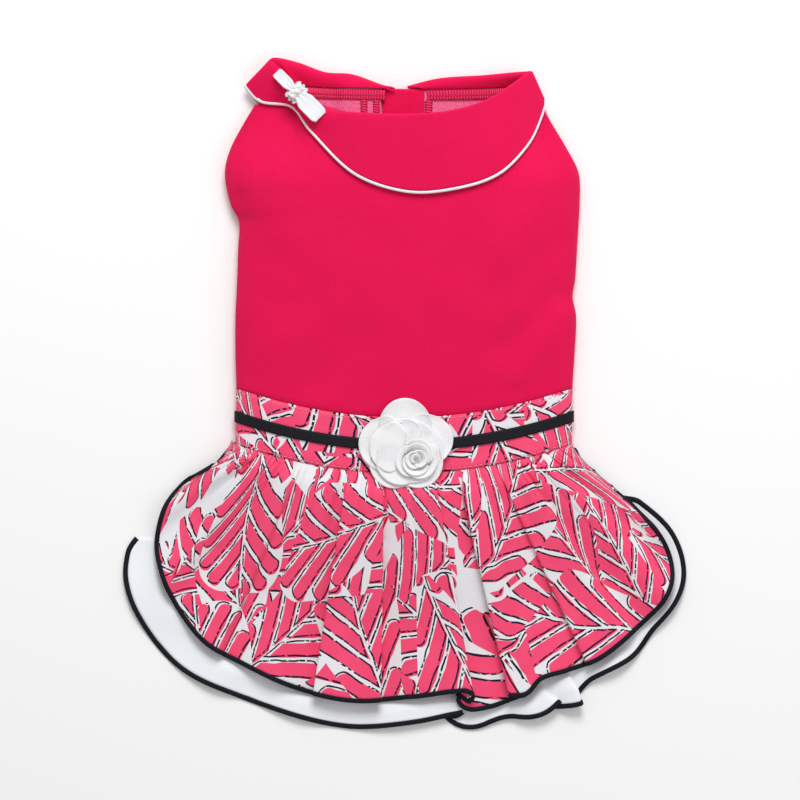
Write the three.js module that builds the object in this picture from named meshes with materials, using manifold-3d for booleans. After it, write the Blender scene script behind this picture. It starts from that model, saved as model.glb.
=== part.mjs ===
// A small dog dress lying flat on its belly, back up. Millimetres, +Z up, +Y towards the neck.
// The origin lies under the middle of the waist seam, on the surface that the dress rests on.
import * as THREE from "three";
import { mergeVertices } from "three/addons/utils/BufferGeometryUtils.js";
import Module from "manifold-3d";

const wasm = await Module();
wasm.setup();

// Cloth and clearances
const knitWall = 1.6;
const printWall = 1.1;
const liningWall = 1.0;
const bandWall = 1.2;
const seamGap = 0.3;

// Bodice
const chestWidth = 200;
const bodiceLength = 180;
const sideHeight = 5;
const chestRise = 21;
const waistRise = 10;
const sideRoll = 10;
const waistDip = 18;
const backFullness = 2.6;
const neckFullness = 2.4;

// Belly closure, seen inside the neck
const overlapWidth = 20;
const overlapEdge = -13;
const flapSlope = 8;
const tapeWidth = 14;
const tapeWall = 1.0;

// Leg holes in the belly
const legHoleWidth = 44;
const legHoleLength = 56;
const legHoleOut = 62;
const legHoleDrop = 50;
const legHoleUp = bodiceLength - legHoleDrop;

// Neck and collar
const neckWidth = 131;
const neckShift = 4;
const neckReach = 10;
const neckTop = bodiceLength + neckReach;
const neckRise = 17;
const backNeckDip = 21;
const bellyNeckDip = 7.5;
const collarFall = 44;
const collarHeight = 32;
const collarLift = 0.8;
const throatTurn = 172;
const pipingDiameter = 1.7;
const neckBindingWidth = 4.6;
const neckBindingWall = 1.0;

// Waistband and its ribbon
const waistbandHeight = 32;
const ribbonWidth = 6.4;
const ribbonWall = 1.0;

// Flower
const flowerDiameter = 55;
const flowerWall = 1.0;
const flowerShift = 1;
const petalLift = 5;
const innerDiameter = 38.5;
const innerLift = 2.5;
const roseDiameter = 19;
const roseHeight = 8;
const roseWall = 1.2;
const roseAcross = 6;
const roseDown = 8;
const roseTurns = 2.4;

// Bow
const bowRibbonWidth = 10;
const bowRibbonWall = 0.9;
const bowUpperLength = 15;
const bowLowerLength = 17;
const bowLoopHeight = 3.6;
const bowKnotLength = 6;
const bowKnotHeight = 4.6;
const bowFrillWidth = 12;
const bowFrillLength = 8;
const pearlDiameter = 2.2;
const pearlCount = 5;

// Skirt and underskirt
const skirtWidth = 292;
const skirtShift = 6;
const skirtLength = 128;
const foldHeight = 6.5;
const gatherPuff = 4;
const layerGap = 2.3;
const underskirtReach = 20;
const bindingWidth = 3;
const bindingWall = 1.3;

// The bodice's outline from below the waist to the shoulder: up is a share of the bodice's length,
// left and right are shares of half the chest's width.
const bodiceOutline = [
  { up: -0.2, left: 0.96, right: 0.955 },
  { up: 0.1, left: 0.955, right: 0.96 },
  { up: 0.19, left: 0.96, right: 0.97 },
  { up: 0.32, left: 0.96, right: 0.98 },
  { up: 0.38, left: 0.955, right: 0.96 },
  { up: 0.44, left: 0.95, right: 0.975 },
  { up: 0.53, left: 0.945, right: 0.985 },
  { up: 0.62, left: 0.94, right: 0.995 },
  { up: 0.67, left: 0.985, right: 1.0 },
  { up: 0.77, left: 1.02, right: 0.995 },
  { up: 0.845, left: 0.99, right: 0.93 },
  { up: 0.93, left: 0.91, right: 0.84 },
  { up: 0.985, left: 0.85, right: 0.79 },
];

// The collar round the neck, from the throat over the left side (-90), the back (0) and the right
// side (90) to the throat again. X values are shares of half the neck's width from its middle,
// Y values shares of the collar's fall from the neck's top.
const collarSections = [
  { turn: -172, foldX: -0.23, foldY: -0.05, edgeX: -0.24, edgeY: -0.78 },
  { turn: -150, foldX: -0.51, foldY: 0.1, edgeX: -0.53, edgeY: -0.74 },
  { turn: -130, foldX: -0.75, foldY: 0.13, edgeX: -0.81, edgeY: -0.6 },
  { turn: -112, foldX: -0.98, foldY: 0.25, edgeX: -1.1, edgeY: -0.42 },
  { turn: -100, foldX: -1.16, foldY: 0.31, edgeX: -1.33, edgeY: -0.23 },
  { turn: -90, foldX: -1.23, foldY: 0.27, edgeX: -1.43, edgeY: -0.03 },
  { turn: -78, foldX: -1.17, foldY: 0.14, edgeX: -1.3, edgeY: -0.22 },
  { turn: -65, foldX: -0.99, foldY: -0.1, edgeX: -1.04, edgeY: -0.29 },
  { turn: -45, foldX: -0.77, foldY: -0.36, edgeX: -0.86, edgeY: -0.6 },
  { turn: -22, foldX: -0.39, foldY: -0.39, edgeX: -0.49, edgeY: -1.16 },
  { turn: 0, foldX: 0, foldY: -0.4, edgeX: -0.05, edgeY: -1.39 },
  { turn: 22, foldX: 0.38, foldY: -0.35, edgeX: 0.36, edgeY: -1.36 },
  { turn: 45, foldX: 0.69, foldY: -0.21, edgeX: 0.75, edgeY: -1.17 },
  { turn: 65, foldX: 0.88, foldY: -0.05, edgeX: 1.01, edgeY: -0.78 },
  { turn: 80, foldX: 1.0, foldY: 0.08, edgeX: 1.13, edgeY: -0.4 },
  { turn: 90, foldX: 1.05, foldY: 0.12, edgeX: 1.19, edgeY: -0.21 },
  { turn: 105, foldX: 0.95, foldY: 0.13, edgeX: 1.16, edgeY: -0.36 },
  { turn: 125, foldX: 0.64, foldY: 0.09, edgeX: 0.82, edgeY: -0.6 },
  { turn: 150, foldX: 0.25, foldY: 0.05, edgeX: 0.34, edgeY: -0.74 },
  { turn: 172, foldX: -0.03, foldY: -0.05, edgeX: -0.01, edgeY: -0.78 },
];

// The skirt's hem from the left end of the waist round to the right end: across is a share of half
// the skirt's width, down a share of its length below the waistband.
const hemOutline = [
  { across: -0.713, down: -0.147 },
  { across: -0.758, down: -0.058 },
  { across: -0.875, down: 0.023 },
  { across: -0.961, down: 0.134 },
  { across: -1.0, down: 0.303 },
  { across: -0.984, down: 0.424 },
  { across: -0.945, down: 0.539 },
  { across: -0.825, down: 0.731 },
  { across: -0.653, down: 0.847 },
  { across: -0.462, down: 0.945 },
  { across: -0.248, down: 1.002 },
  { across: -0.01, down: 0.985 },
  { across: 0.138, down: 0.967 },
  { across: 0.195, down: 0.97 },
  { across: 0.24, down: 1.012 },
  { across: 0.294, down: 1.011 },
  { across: 0.365, down: 0.989 },
  { across: 0.45, down: 0.958 },
  { across: 0.493, down: 0.904 },
  { across: 0.59, down: 0.869 },
  { across: 0.723, down: 0.811 },
  { across: 0.891, down: 0.651 },
  { across: 0.973, down: 0.548 },
  { across: 1.0, down: 0.446 },
  { across: 0.965, down: 0.299 },
  { across: 0.844, down: 0.138 },
  { across: 0.669, down: -0.035 },
  { across: 0.63, down: -0.089 },
];

// How far the underskirt shows below the skirt: at is a share of the hem's length, reach a share
// of the underskirt's greatest reach.
const underskirtShow = [
  { at: 0.139, reach: 0.69 },
  { at: 0.168, reach: 1.02 },
  { at: 0.22, reach: 1.08 },
  { at: 0.308, reach: 0.9 },
  { at: 0.365, reach: 0.77 },
  { at: 0.49, reach: 0.74 },
  { at: 0.53, reach: 0.68 },
  { at: 0.587, reach: 0.5 },
  { at: 0.64, reach: 0.75 },
  { at: 0.677, reach: 0.82 },
  { at: 0.7, reach: 0.45 },
  { at: 0.74, reach: 0.52 },
  { at: 0.775, reach: 0.35 },
  { at: 0.87, reach: 0.3 },
  { at: 0.93, reach: 0.12 },
];
const underskirtStart = underskirtShow[0].at;
const underskirtEnd = underskirtShow[underskirtShow.length - 1].at;

// The skirt's folds: valley is where a fold starts, as a share of the hem's length, and ridge is
// the height of the fold up to the next valley, as a share of the fold height.
const skirtFolds = [
  { valley: 0.0, ridge: 0.35 },
  { valley: 0.075, ridge: 0.6 },
  { valley: 0.139, ridge: 0.8 },
  { valley: 0.21, ridge: 0.9 },
  { valley: 0.28, ridge: 0.75 },
  { valley: 0.345, ridge: 1.0 },
  { valley: 0.415, ridge: 0.8 },
  { valley: 0.47, ridge: 1.0 },
  { valley: 0.556, ridge: 0.7 },
  { valley: 0.607, ridge: 0.55 },
  { valley: 0.645, ridge: 1.0 },
  { valley: 0.72, ridge: 0.9 },
  { valley: 0.8, ridge: 0.8 },
  { valley: 0.88, ridge: 0.5 },
  { valley: 1.0, ridge: 0 },
];

const colours = {
  knit: 0xe4144f,
  print: 0xfb5079,
  lining: 0xf1f4f8,
  binding: 0x0d1020,
  satin: 0xf6f5f7,
  petal: 0xf5f4f1,
  pearl: 0xf3efe8,
};

// Shares of the lengths above that shape the curves
const shoulderStart = 0.72;
const bellyLiftStart = 0.68;
const bellyLiftEnd = 0.85;
const flatBackStart = 0.6;
const collarStandShare = 1 / 3;
const collarRollShare = 0.3;
const collarLeanShare = 0.2;
const throatRoll = 3.5;
const sideTurn = [0.38, 0.5];
const petalHole = 0.12;
const petalNotch = 0.22;
const petalRoundness = 0.6;
const petalCupStart = 0.4;
const petalWave = 0.25;
const roseTaper = 0.25;
const bowPlace = 0.46;
const bowPinch = 0.55;
const bowNarrowing = 0.4;
const gatherBunch = 0.085;
const skirtEnd = 0.06;

const halfChest = chestWidth / 2;
const halfNeck = neckWidth / 2;
const radians = THREE.MathUtils.degToRad;
const clamp = THREE.MathUtils.clamp;
const mix = THREE.MathUtils.lerp;
const ease = THREE.MathUtils.smoothstep;

// Reads a column of a table at a place between its rows, along a smooth curve.
function column(table, place, value, at) {
  const last = table.length - 1;
  const t = clamp(at, table[0][place], table[last][place]);
  let row = 0;
  while (row < last - 1 && table[row + 1][place] < t) row += 1;
  const slope = (k) => {
    const a = table[Math.max(k - 1, 0)];
    const b = table[Math.min(k + 1, last)];
    return (b[value] - a[value]) / (b[place] - a[place]);
  };
  const [from, to] = [table[row], table[row + 1]];
  const span = to[place] - from[place];
  const q = (t - from[place]) / span;
  const rest = 1 - q;
  return (
    from[value] * rest * rest * (1 + 2 * q) +
    to[value] * q * q * (3 - 2 * q) +
    slope(row) * span * q * rest * rest -
    slope(row + 1) * span * q * q * rest
  );
}

// A dome's height over its width, upright at both ends.
function dome(share, fullness) {
  return Math.sqrt(Math.max(0, 1 - Math.abs(share) ** fullness));
}

function hermite(from, leave, to, arrive, t) {
  const s = 1 - t;
  return new THREE.Vector3()
    .addScaledVector(from, s * s * (1 + 2 * t))
    .addScaledVector(leave, t * s * s)
    .addScaledVector(to, t * t * (3 - 2 * t))
    .addScaledVector(arrive, -t * t * s);
}

// Makes one closed body of two grids of points, a cloth's upper and lower face.
function wallBetween(upper, lower, ring = false) {
  const columns = upper.length;
  const rows = upper[0].length;
  const points = [...upper.flat(), ...lower.flat()];
  const at = (side, i, j) => side * columns * rows + (i % columns) * rows + j;
  const faces = [];
  const quad = (a, b, c, d) => faces.push(a, b, c, a, c, d);
  const steps = ring ? columns : columns - 1;
  for (let i = 0; i < steps; i += 1) {
    for (let j = 0; j < rows - 1; j += 1) {
      quad(at(0, i, j), at(0, i + 1, j), at(0, i + 1, j + 1), at(0, i, j + 1));
      quad(at(1, i, j), at(1, i, j + 1), at(1, i + 1, j + 1), at(1, i + 1, j));
    }
    quad(at(0, i, 0), at(1, i, 0), at(1, i + 1, 0), at(0, i + 1, 0));
    quad(at(0, i, rows - 1), at(0, i + 1, rows - 1), at(1, i + 1, rows - 1), at(1, i, rows - 1));
  }
  if (!ring) {
    for (let j = 0; j < rows - 1; j += 1) {
      quad(at(0, 0, j), at(0, 0, j + 1), at(1, 0, j + 1), at(1, 0, j));
      const end = columns - 1;
      quad(at(0, end, j), at(1, end, j), at(1, end, j + 1), at(0, end, j + 1));
    }
  }
  const geometry = new THREE.BufferGeometry().setFromPoints(points);
  geometry.setIndex(facingOut(points, faces));
  geometry.computeVertexNormals();
  return geometry;
}

// Turns the faces of a closed body outwards, by the sign of its volume.
function facingOut(points, faces) {
  let volume = 0;
  for (let k = 0; k < faces.length; k += 3) {
    const [a, b, c] = [points[faces[k]], points[faces[k + 1]], points[faces[k + 2]]];
    volume += a.dot(new THREE.Vector3().crossVectors(b, c));
  }
  return volume < 0 ? faces.reverse() : faces;
}

function grid(columns, rows, point) {
  const cells = [];
  for (let i = 0; i <= columns; i += 1) {
    const line = [];
    for (let j = 0; j <= rows; j += 1) line.push(point(i / columns, j / rows));
    cells.push(line);
  }
  return cells;
}

// A cloth of even thickness on both sides of a surface given by its two parameters.
function clothOn(columns, rows, surface, wall, ring = false) {
  const step = 1e-3;
  const offset = (side) => (u, v) => {
    const along = surface(Math.min(u + step, 1), v).sub(surface(Math.max(u - step, 0), v));
    const up = surface(u, Math.min(v + step, 1)).sub(surface(u, Math.max(v - step, 0)));
    const normal = along.cross(up).normalize();
    return surface(u, v).addScaledVector(normal, (side * wall) / 2);
  };
  const upper = grid(columns, rows, offset(1));
  const lower = grid(columns, rows, offset(-1));
  if (ring) {
    upper.pop();
    lower.pop();
  }
  return wallBetween(upper, lower, ring);
}

function cut(geometry, tool) {
  const solid = (shape) => {
    const bare = shape.clone();
    bare.deleteAttribute("normal");
    bare.deleteAttribute("uv");
    const merged = mergeVertices(bare);
    return new wasm.Manifold(
      new wasm.Mesh({
        numProp: 3,
        vertProperties: new Float32Array(merged.attributes.position.array),
        triVerts: new Uint32Array(merged.index.array),
      }),
    );
  };
  const mesh = solid(geometry).subtract(solid(tool)).getMesh();
  const result = new THREE.BufferGeometry();
  result.setAttribute("position", new THREE.Float32BufferAttribute(mesh.vertProperties, 3));
  result.setIndex([...mesh.triVerts]);
  result.computeVertexNormals();
  return result;
}

// Bodice

function halfWidth(side, y) {
  return halfChest * column(bodiceOutline, "up", side < 0 ? "left" : "right", y / bodiceLength);
}

function acrossShare(x, y) {
  return clamp(x / halfWidth(x, y), -1, 1);
}

function neckShare(x) {
  return (x - neckShift) / halfNeck;
}

function waistSeam(x) {
  return waistDip * (x / halfChest) ** 2;
}

function waistbandEdge(x) {
  return waistSeam(x) - waistbandHeight;
}

// The shoulder line and, between the neck's sides, the neckline with its own dip.
function topLine(x, dip) {
  const share = neckShare(x);
  if (Math.abs(share) < 1) return neckTop - dip * dome(share, 2);
  const corner = halfWidth(x, neckTop) * Math.sign(x);
  const side = neckShift + Math.sign(share) * halfNeck;
  const drop = clamp((x - side) / (corner - side), 0, 1);
  return mix(neckTop, bodiceLength - sideHeight / 2, drop);
}

// Height of the bodice's upper face over the table.
function backTop(x, y) {
  const share = acrossShare(x, y);
  const swell = ease(y, -waistbandHeight, bodiceLength * flatBackStart);
  const chest = mix(waistRise, chestRise, swell);
  const mouth = knitWall + neckRise * dome(clamp(neckShare(x), -1, 1), neckFullness);
  const shoulder = ease(y, bodiceLength * shoulderStart, topLine(x, backNeckDip));
  return sideHeight + mix(chest, mouth, shoulder) * dome(share, backFullness);
}

// Height of the bodice's under face: flat on the table, rolling up to the side seam, and lifted at
// the neck over the collar's hidden fall.
function bellyBottom(x, y) {
  const share = Math.abs(acrossShare(x, y));
  const flat = 1 - sideRoll / halfWidth(x, y);
  const roll = clamp((share - flat) / (1 - flat), 0, 1);
  const side = (sideHeight - seamGap) * (1 - Math.sqrt(1 - roll * roll));
  const lifted = ease(y, bodiceLength * bellyLiftStart, bodiceLength * bellyLiftEnd);
  const lift = (knitWall + 4 * seamGap) * lifted;
  const shoulderLine = topLine(x, bellyNeckDip);
  const outside = ease(Math.abs(neckShare(x)), 0.9, 1.02);
  const shoulder =
    (sideHeight - seamGap - knitWall) * outside * ease(y, shoulderLine - sideRoll, shoulderLine);
  return Math.max(side, lift, shoulder);
}

function bodicePoint(share, rise, dip, waist) {
  const side = share < 0 ? -1 : 1;
  const top = topLine(share * halfWidth(side, neckTop), dip);
  const bottom = waist(share * halfWidth(side, 0));
  const y = mix(bottom, top, rise);
  return new THREE.Vector2(share * halfWidth(side, y), y);
}

// The back, the waistband and its ribbon share their columns, so that they lie on each other.
const backColumns = 20;

function makeBackPanel() {
  const point = (inner) => (u, v) => {
    const share = -Math.cos(Math.PI * u);
    const place = bodicePoint(share, v, backNeckDip, waistSeam);
    const height = backTop(place.x, place.y);
    if (!inner) return new THREE.Vector3(place.x, place.y, height);
    const narrower = 1 - knitWall / halfWidth(share, place.y);
    const depth = knitWall * dome(share, backFullness);
    return new THREE.Vector3(place.x * narrower, place.y, height - depth);
  };
  const [outer, inner] = [point(false), point(true)].map((face) => grid(backColumns, 12, face));
  return wallBetween(outer, inner);
}

// Half of the belly, from its side seam to its edge at the closure. The flap lies inside.
const bellyRows = 14;

// The left half steps up over the right half and the closure tape.
const bellyStep = knitWall + tapeWall + 2 * seamGap;

function flapStep(x, side) {
  if (side > 0) return 0;
  return bellyStep * ease(x, overlapEdge - overlapWidth - flapSlope, overlapEdge - overlapWidth);
}

function makeBellyHalf(side, edge) {
  const flap = [0, overlapWidth, overlapWidth + flapSlope];
  const steps = flap.map((out) => out / (halfChest + side * edge));
  const columns = 10;
  const point = (inner) => (u, v) => {
    const place = Math.round(u * columns);
    const open = mix(steps[2], 1, Math.sin((Math.PI / 2) * ((place - 2) / (columns - 2))));
    const reach = place < 2 ? steps[place] : open;
    const corner = side * halfWidth(side, neckTop);
    const top = topLine(mix(edge, corner, reach), bellyNeckDip) - seamGap / 3;
    const bottom = waistbandEdge(mix(edge, side * halfWidth(side, 0), reach));
    const y = mix(bottom, top, v);
    const x = mix(edge, side * halfWidth(side, y), reach);
    const share = Math.abs(acrossShare(x, y));
    const bottomZ = bellyBottom(x, y) + flapStep(x, side);
    if (!inner) return new THREE.Vector3(x, y, bottomZ);
    const roll = ease(share, 1 - sideRoll / halfWidth(side, y), 1);
    const narrower = 1 - (roll * knitWall) / halfWidth(side, y);
    const rim = Math.sqrt(1 - roll ** 4);
    return new THREE.Vector3(x * narrower, y, bottomZ + knitWall * rim);
  };
  const [under, upper] = [point(false), point(true)].map((face) => grid(columns, bellyRows, face));
  const panel = wallBetween(under, upper);
  return cut(panel, legHoleTool(side));
}

function legHoleTool(side) {
  const outline = new THREE.Shape().absellipse(
    side * legHoleOut, legHoleUp, legHoleWidth / 2, legHoleLength / 2, 0, 2 * Math.PI,
  );
  const depth = 4 * sideHeight;
  const tool = new THREE.ExtrudeGeometry(outline, { depth, bevelEnabled: false, curveSegments: 20 });
  return tool.translate(0, 0, -depth / 2);
}

function makeClosureTape() {
  const middle = overlapEdge - overlapWidth / 2;
  const surface = (u, v) => {
    const x = middle + tapeWidth * (u - 0.5);
    const reach = (v * (bellyRows - 1)) / bellyRows;
    const y = mix(waistbandEdge(x), topLine(x, bellyNeckDip), reach);
    const z = bellyBottom(x, y) + knitWall + seamGap + tapeWall / 2;
    return new THREE.Vector3(x, y, z);
  };
  return clothOn(1, bellyRows - 1, surface, tapeWall);
}

// Collar

// The seam that joins the collar to the bodice, raised by half a wall over the cloth below it.
function neckSeam(turn) {
  const angle = radians(turn);
  const c = Math.cos(angle);
  const x = neckShift + halfNeck * Math.sin(angle);
  const y = neckTop - (c < 0 ? bellyNeckDip : backNeckDip) * Math.abs(c);
  const low = bellyBottom(x, y) + flapStep(x, turn) + knitWall;
  const high = backTop(x, Math.min(y, topLine(x, backNeckDip)));
  return new THREE.Vector3(x, y, mix(low, high, ease(c, -0.3, 0)) + 3 * seamGap);
}

function collarTable(turn, nameX, nameY) {
  const x = neckShift + halfNeck * column(collarSections, "turn", nameX, turn);
  const y = neckTop + collarFall * column(collarSections, "turn", nameY, turn);
  return new THREE.Vector3(x, y, 0);
}

// The lowest that the collar's middle may lie: on the table, or on the bodice where it falls over it.
function collarBed(x, y, turn) {
  const onBack = ease(Math.cos(radians(turn)), -0.15, 0);
  const inside = Math.abs(x) < halfWidth(x, y) ? 1 : 0;
  const bed = inside && y < topLine(x, backNeckDip) + 2 ? backTop(x, y) + collarLift : 0;
  return mix(0, bed, onBack) + knitWall / 2;
}

function collarPoint(turn, down) {
  const seam = neckSeam(turn);
  const fold = collarTable(turn, "foldX", "foldY");
  const edge = collarTable(turn, "edgeX", "edgeY");
  const back = (1 + Math.cos(radians(turn))) / 2;
  fold.z = mix(2 * knitWall, collarHeight, back ** 2);
  const sideEdge = (sideHeight + knitWall) * ease(back, ...sideTurn);
  edge.z = Math.max(collarBed(edge.x, edge.y, turn), sideEdge);
  const rise = new THREE.Vector3().subVectors(fold, seam);
  const outward = new THREE.Vector3().subVectors(edge, fold);
  const under = 1 - ease(back, ...sideTurn);
  const roll = outward.clone().setZ(0).normalize().multiplyScalar(collarHeight * collarRollShare);
  roll.lerp(new THREE.Vector3(0, 0, -throatRoll * fold.z), under);
  if (down < collarStandShare) {
    const leave = rise.clone().add(new THREE.Vector3(0, 0, collarHeight * collarLeanShare));
    return hermite(seam, leave, fold, roll, down / collarStandShare);
  }
  const arrive = outward.multiplyScalar(1 + under);
  arrive.z *= 1 - under;
  const fallen = (down - collarStandShare) / (1 - collarStandShare);
  const place = hermite(fold, roll, edge, arrive, fallen);
  place.z = Math.max(place.z, collarBed(place.x, place.y, turn));
  return place;
}

const collarColumns = 34;

function makeCollar() {
  const surface = (u, v) => collarPoint(mix(-throatTurn, throatTurn, u), v);
  return clothOn(collarColumns, 9, surface, knitWall);
}

// A tube with a ring of sides at each of its points, closed at both ends.
function tubeThrough(points, diameter, sides) {
  const last = points.length - 1;
  const rings = points.map((middle, k) => {
    const along = points[Math.min(k + 1, last)].clone().sub(points[Math.max(k - 1, 0)]).normalize();
    const across = new THREE.Vector3(0, 0, 1).cross(along).normalize();
    const up = along.clone().cross(across);
    return Array.from({ length: sides }, (_, side) => {
      const angle = (2 * Math.PI * side) / sides;
      return middle.clone()
        .addScaledVector(across, (Math.cos(angle) * diameter) / 2)
        .addScaledVector(up, (Math.sin(angle) * diameter) / 2);
    });
  });
  const corners = rings.flat();
  const faces = [];
  for (let k = 0; k < last; k += 1) {
    for (let side = 0; side < sides; side += 1) {
      const next = (side + 1) % sides;
      const [a, b] = [k * sides + side, k * sides + next];
      faces.push(a, b, b + sides, a, b + sides, a + sides);
    }
  }
  for (let side = 1; side < sides - 1; side += 1) {
    const end = last * sides;
    faces.push(0, side + 1, side, end, end + side, end + side + 1);
  }
  const geometry = new THREE.BufferGeometry().setFromPoints(corners);
  geometry.setIndex(facingOut(corners, faces));
  geometry.computeVertexNormals();
  return geometry;
}

function makeCollarPiping() {
  const stand = pipingDiameter / 2 + 2 * seamGap;
  const points = [];
  for (let k = 0; k <= collarColumns; k += 1) {
    const turn = mix(-throatTurn, throatTurn, k / collarColumns);
    const end = collarPoint(turn, 1);
    const before = collarPoint(turn, 0.94);
    const outward = end.clone().sub(before).normalize();
    const place = end.addScaledVector(outward, stand);
    const bed = collarBed(place.x, place.y, turn) + (pipingDiameter - knitWall) / 2;
    place.z = Math.max(place.z, bed);
    points.push(place);
  }
  return tubeThrough(points, pipingDiameter, 6);
}

function makeNeckBinding(side) {
  const surface = (u, v) => {
    const turn = side * mix(throatTurn, 106, u);
    const seam = neckSeam(turn);
    const y = seam.y - knitWall / 2 - seamGap - neckBindingWidth * v;
    const cloth = bellyBottom(seam.x, y) + flapStep(seam.x, side) + knitWall;
    const z = cloth + 2 * seamGap + neckBindingWall / 2;
    return new THREE.Vector3(seam.x, y, z);
  };
  return clothOn(14, 1, surface, neckBindingWall);
}

// Waistband

// A band laid on the bodice's upper face, from one distance below the waist seam to another.
function bandOnBack(from, to, lift, wall, rows) {
  const point = (inner) => (u, v) => {
    const share = -Math.cos(Math.PI * u);
    const x = share * halfWidth(share, 0);
    const y = waistSeam(x) - mix(from, to, v);
    const outer = lift + (inner ? 0 : wall);
    const wider = 1 + outer / halfWidth(share, y);
    const height = backTop(x, y) + outer * dome(share, backFullness);
    return new THREE.Vector3(x * wider, y, height);
  };
  const [outer, inner] = [point(false), point(true)].map((face) => grid(backColumns, rows, face));
  return wallBetween(outer, inner);
}

function makeWaistband() {
  return bandOnBack(seamGap, waistbandHeight, -bandWall, bandWall, 3);
}

function makeWaistRibbon() {
  const middle = waistbandHeight / 2;
  return bandOnBack(middle - ribbonWidth / 2, middle + ribbonWidth / 2, seamGap, ribbonWall, 1);
}

// Flower

const flowerPlace = new THREE.Vector3(flowerShift, -waistbandHeight / 2, 0);
flowerPlace.z = backTop(flowerPlace.x, flowerPlace.y) + ribbonWall + 2 * seamGap;

const petals = 5;

// A ruffled layer of round petals with a small hole at its middle.
function petalLayer(radius, base, lift, turn) {
  const surface = (u, v) => {
    const angle = 2 * Math.PI * u;
    const lobe = Math.abs(Math.cos((petals / 2) * (angle - turn))) ** petalRoundness;
    const out = mix(petalHole, 1 - petalNotch * (1 - lobe), v) * radius;
    const wave = 1 - petalWave * (1 - Math.sin(petals * angle));
    const cup = lift * ease(v, petalCupStart, 1) * wave;
    const bend = (out * Math.cos(angle)) ** 2 / (8 * halfChest);
    return new THREE.Vector3(out * Math.cos(angle), out * Math.sin(angle), base + cup - bend);
  };
  return clothOn(30, 3, surface, flowerWall, true);
}

function makeRose(base) {
  const pitch = (roseDiameter / 2 - roseWall) / roseTurns;
  const surface = (u, v) => {
    const angle = 2 * Math.PI * roseTurns * u;
    const out = pitch * (0.35 + roseTurns * u) + roseWall * 1.25 * (v - 0.5) * u;
    const [x, y] = [roseAcross + out * Math.cos(angle), out * Math.sin(angle) - roseDown];
    return new THREE.Vector3(x, y, base + roseHeight * v * (1 - roseTaper * u));
  };
  return clothOn(30, 2, surface, roseWall);
}

// Bow

// The bow lies along the collar's fold, between two places round the neck.
const bowTurns = [-80, -48];
const bowDown = collarStandShare + 0.12;
const [bowFrom, bowTo] = bowTurns.map((turn) => collarPoint(turn, bowDown));

// A flattened loop of ribbon that starts at the knot and points along +X.
function makeBowLoop(length, width) {
  const ring = 20;
  const outline = (wall) => (u, v) => {
    const angle = 2 * Math.PI * u;
    const along = (length / 2 - wall) * Math.cos(angle) + length / 2;
    const pinch = 1 - bowPinch * (1 - ease(along, 0, length * 0.6));
    const across = width * (1 - bowNarrowing * (1 - ease(along, 0, length / 2))) * (v - 0.5);
    const z = (bowLoopHeight / 2 - wall) * Math.sin(angle) * pinch + bowLoopHeight / 2;
    return new THREE.Vector3(along + bowKnotLength / 2, across, z);
  };
  const outer = grid(ring, 1, outline(0));
  const inner = grid(ring, 1, outline(bowRibbonWall));
  outer.pop();
  inner.pop();
  return wallBetween(outer, inner, true);
}

function makeBowFrill() {
  const surface = (u, v) => {
    const y = bowFrillWidth * (u - 0.5);
    const x = bowFrillLength * (v - 0.5) * (0.75 + 0.25 * Math.cos(2 * Math.PI * u));
    return new THREE.Vector3(x, y, -seamGap - bowRibbonWall / 2);
  };
  return clothOn(12, 2, surface, bowRibbonWall);
}

function makeBowKnot() {
  const section = new THREE.Shape();
  const half = bowKnotLength / 2 - seamGap;
  section.absellipse(0, bowKnotHeight / 2, half, bowKnotHeight / 2, 0, 2 * Math.PI);
  const depth = bowRibbonWidth * 0.8;
  const knot = new THREE.ExtrudeGeometry(section, { depth, bevelEnabled: false, curveSegments: 7 });
  return knot.rotateX(Math.PI / 2).translate(0, depth / 2, 0);
}

// Skirt

const hemCurve = new THREE.CatmullRomCurve3(
  hemOutline.map(({ across, down }) => new THREE.Vector3(
    skirtShift + (across * skirtWidth) / 2,
    -waistbandHeight - down * skirtLength,
    0,
  )),
  false,
  "centripetal",
);

// Gathers bunch up towards the waist's ends on the way in from the hem.
function waistShare(share) {
  return share + gatherBunch * Math.sin(2 * Math.PI * (share - 0.5));
}

function skirtTopEdge(share) {
  const across = 2 * waistShare(share) - 1;
  const x = across * halfWidth(across, -waistbandHeight);
  const y = waistbandEdge(x);
  return new THREE.Vector3(x, y - 2 * seamGap, backTop(x, y));
}

function hemOutward(share) {
  const along = hemCurve.getTangentAt(clamp(share, 0, 1));
  return new THREE.Vector3(along.y, -along.x, 0);
}

function ridge(share) {
  let row = 0;
  while (row < skirtFolds.length - 2 && skirtFolds[row + 1].valley < share) row += 1;
  const { valley, ridge: height } = skirtFolds[row];
  const q = (share - valley) / (skirtFolds[row + 1].valley - valley);
  return height * Math.sin(Math.PI * clamp(q, 0, 1)) ** 0.9;
}

// A point of the skirt: share runs along the hem, down from the waist (0) to the hem (1) and on
// past it by a distance.
function skirtPoint(share, down, beyond) {
  const top = skirtTopEdge(share);
  const hem = hemCurve.getPointAt(share);
  const place = top.clone().setZ(0).lerp(hem, down);
  place.addScaledVector(hemOutward(share), beyond);
  const seamFall = top.z * (1 - down) ** 1.5;
  const puff = gatherPuff * Math.sin(Math.PI * Math.min(1, down * 1.3) ** 0.6);
  const ends = ease(share, 0, skirtEnd) * ease(1 - share, 0, skirtEnd);
  const fold = foldHeight * ridge(share) * down ** 0.8;
  const under = printWall / 2 + layerGap * ease(share, 0, underskirtStart);
  place.z = Math.max(seamFall, under) + ends * (puff + fold);
  return place;
}

const stepsPerFold = 4;
const skirtRows = 6;

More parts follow.
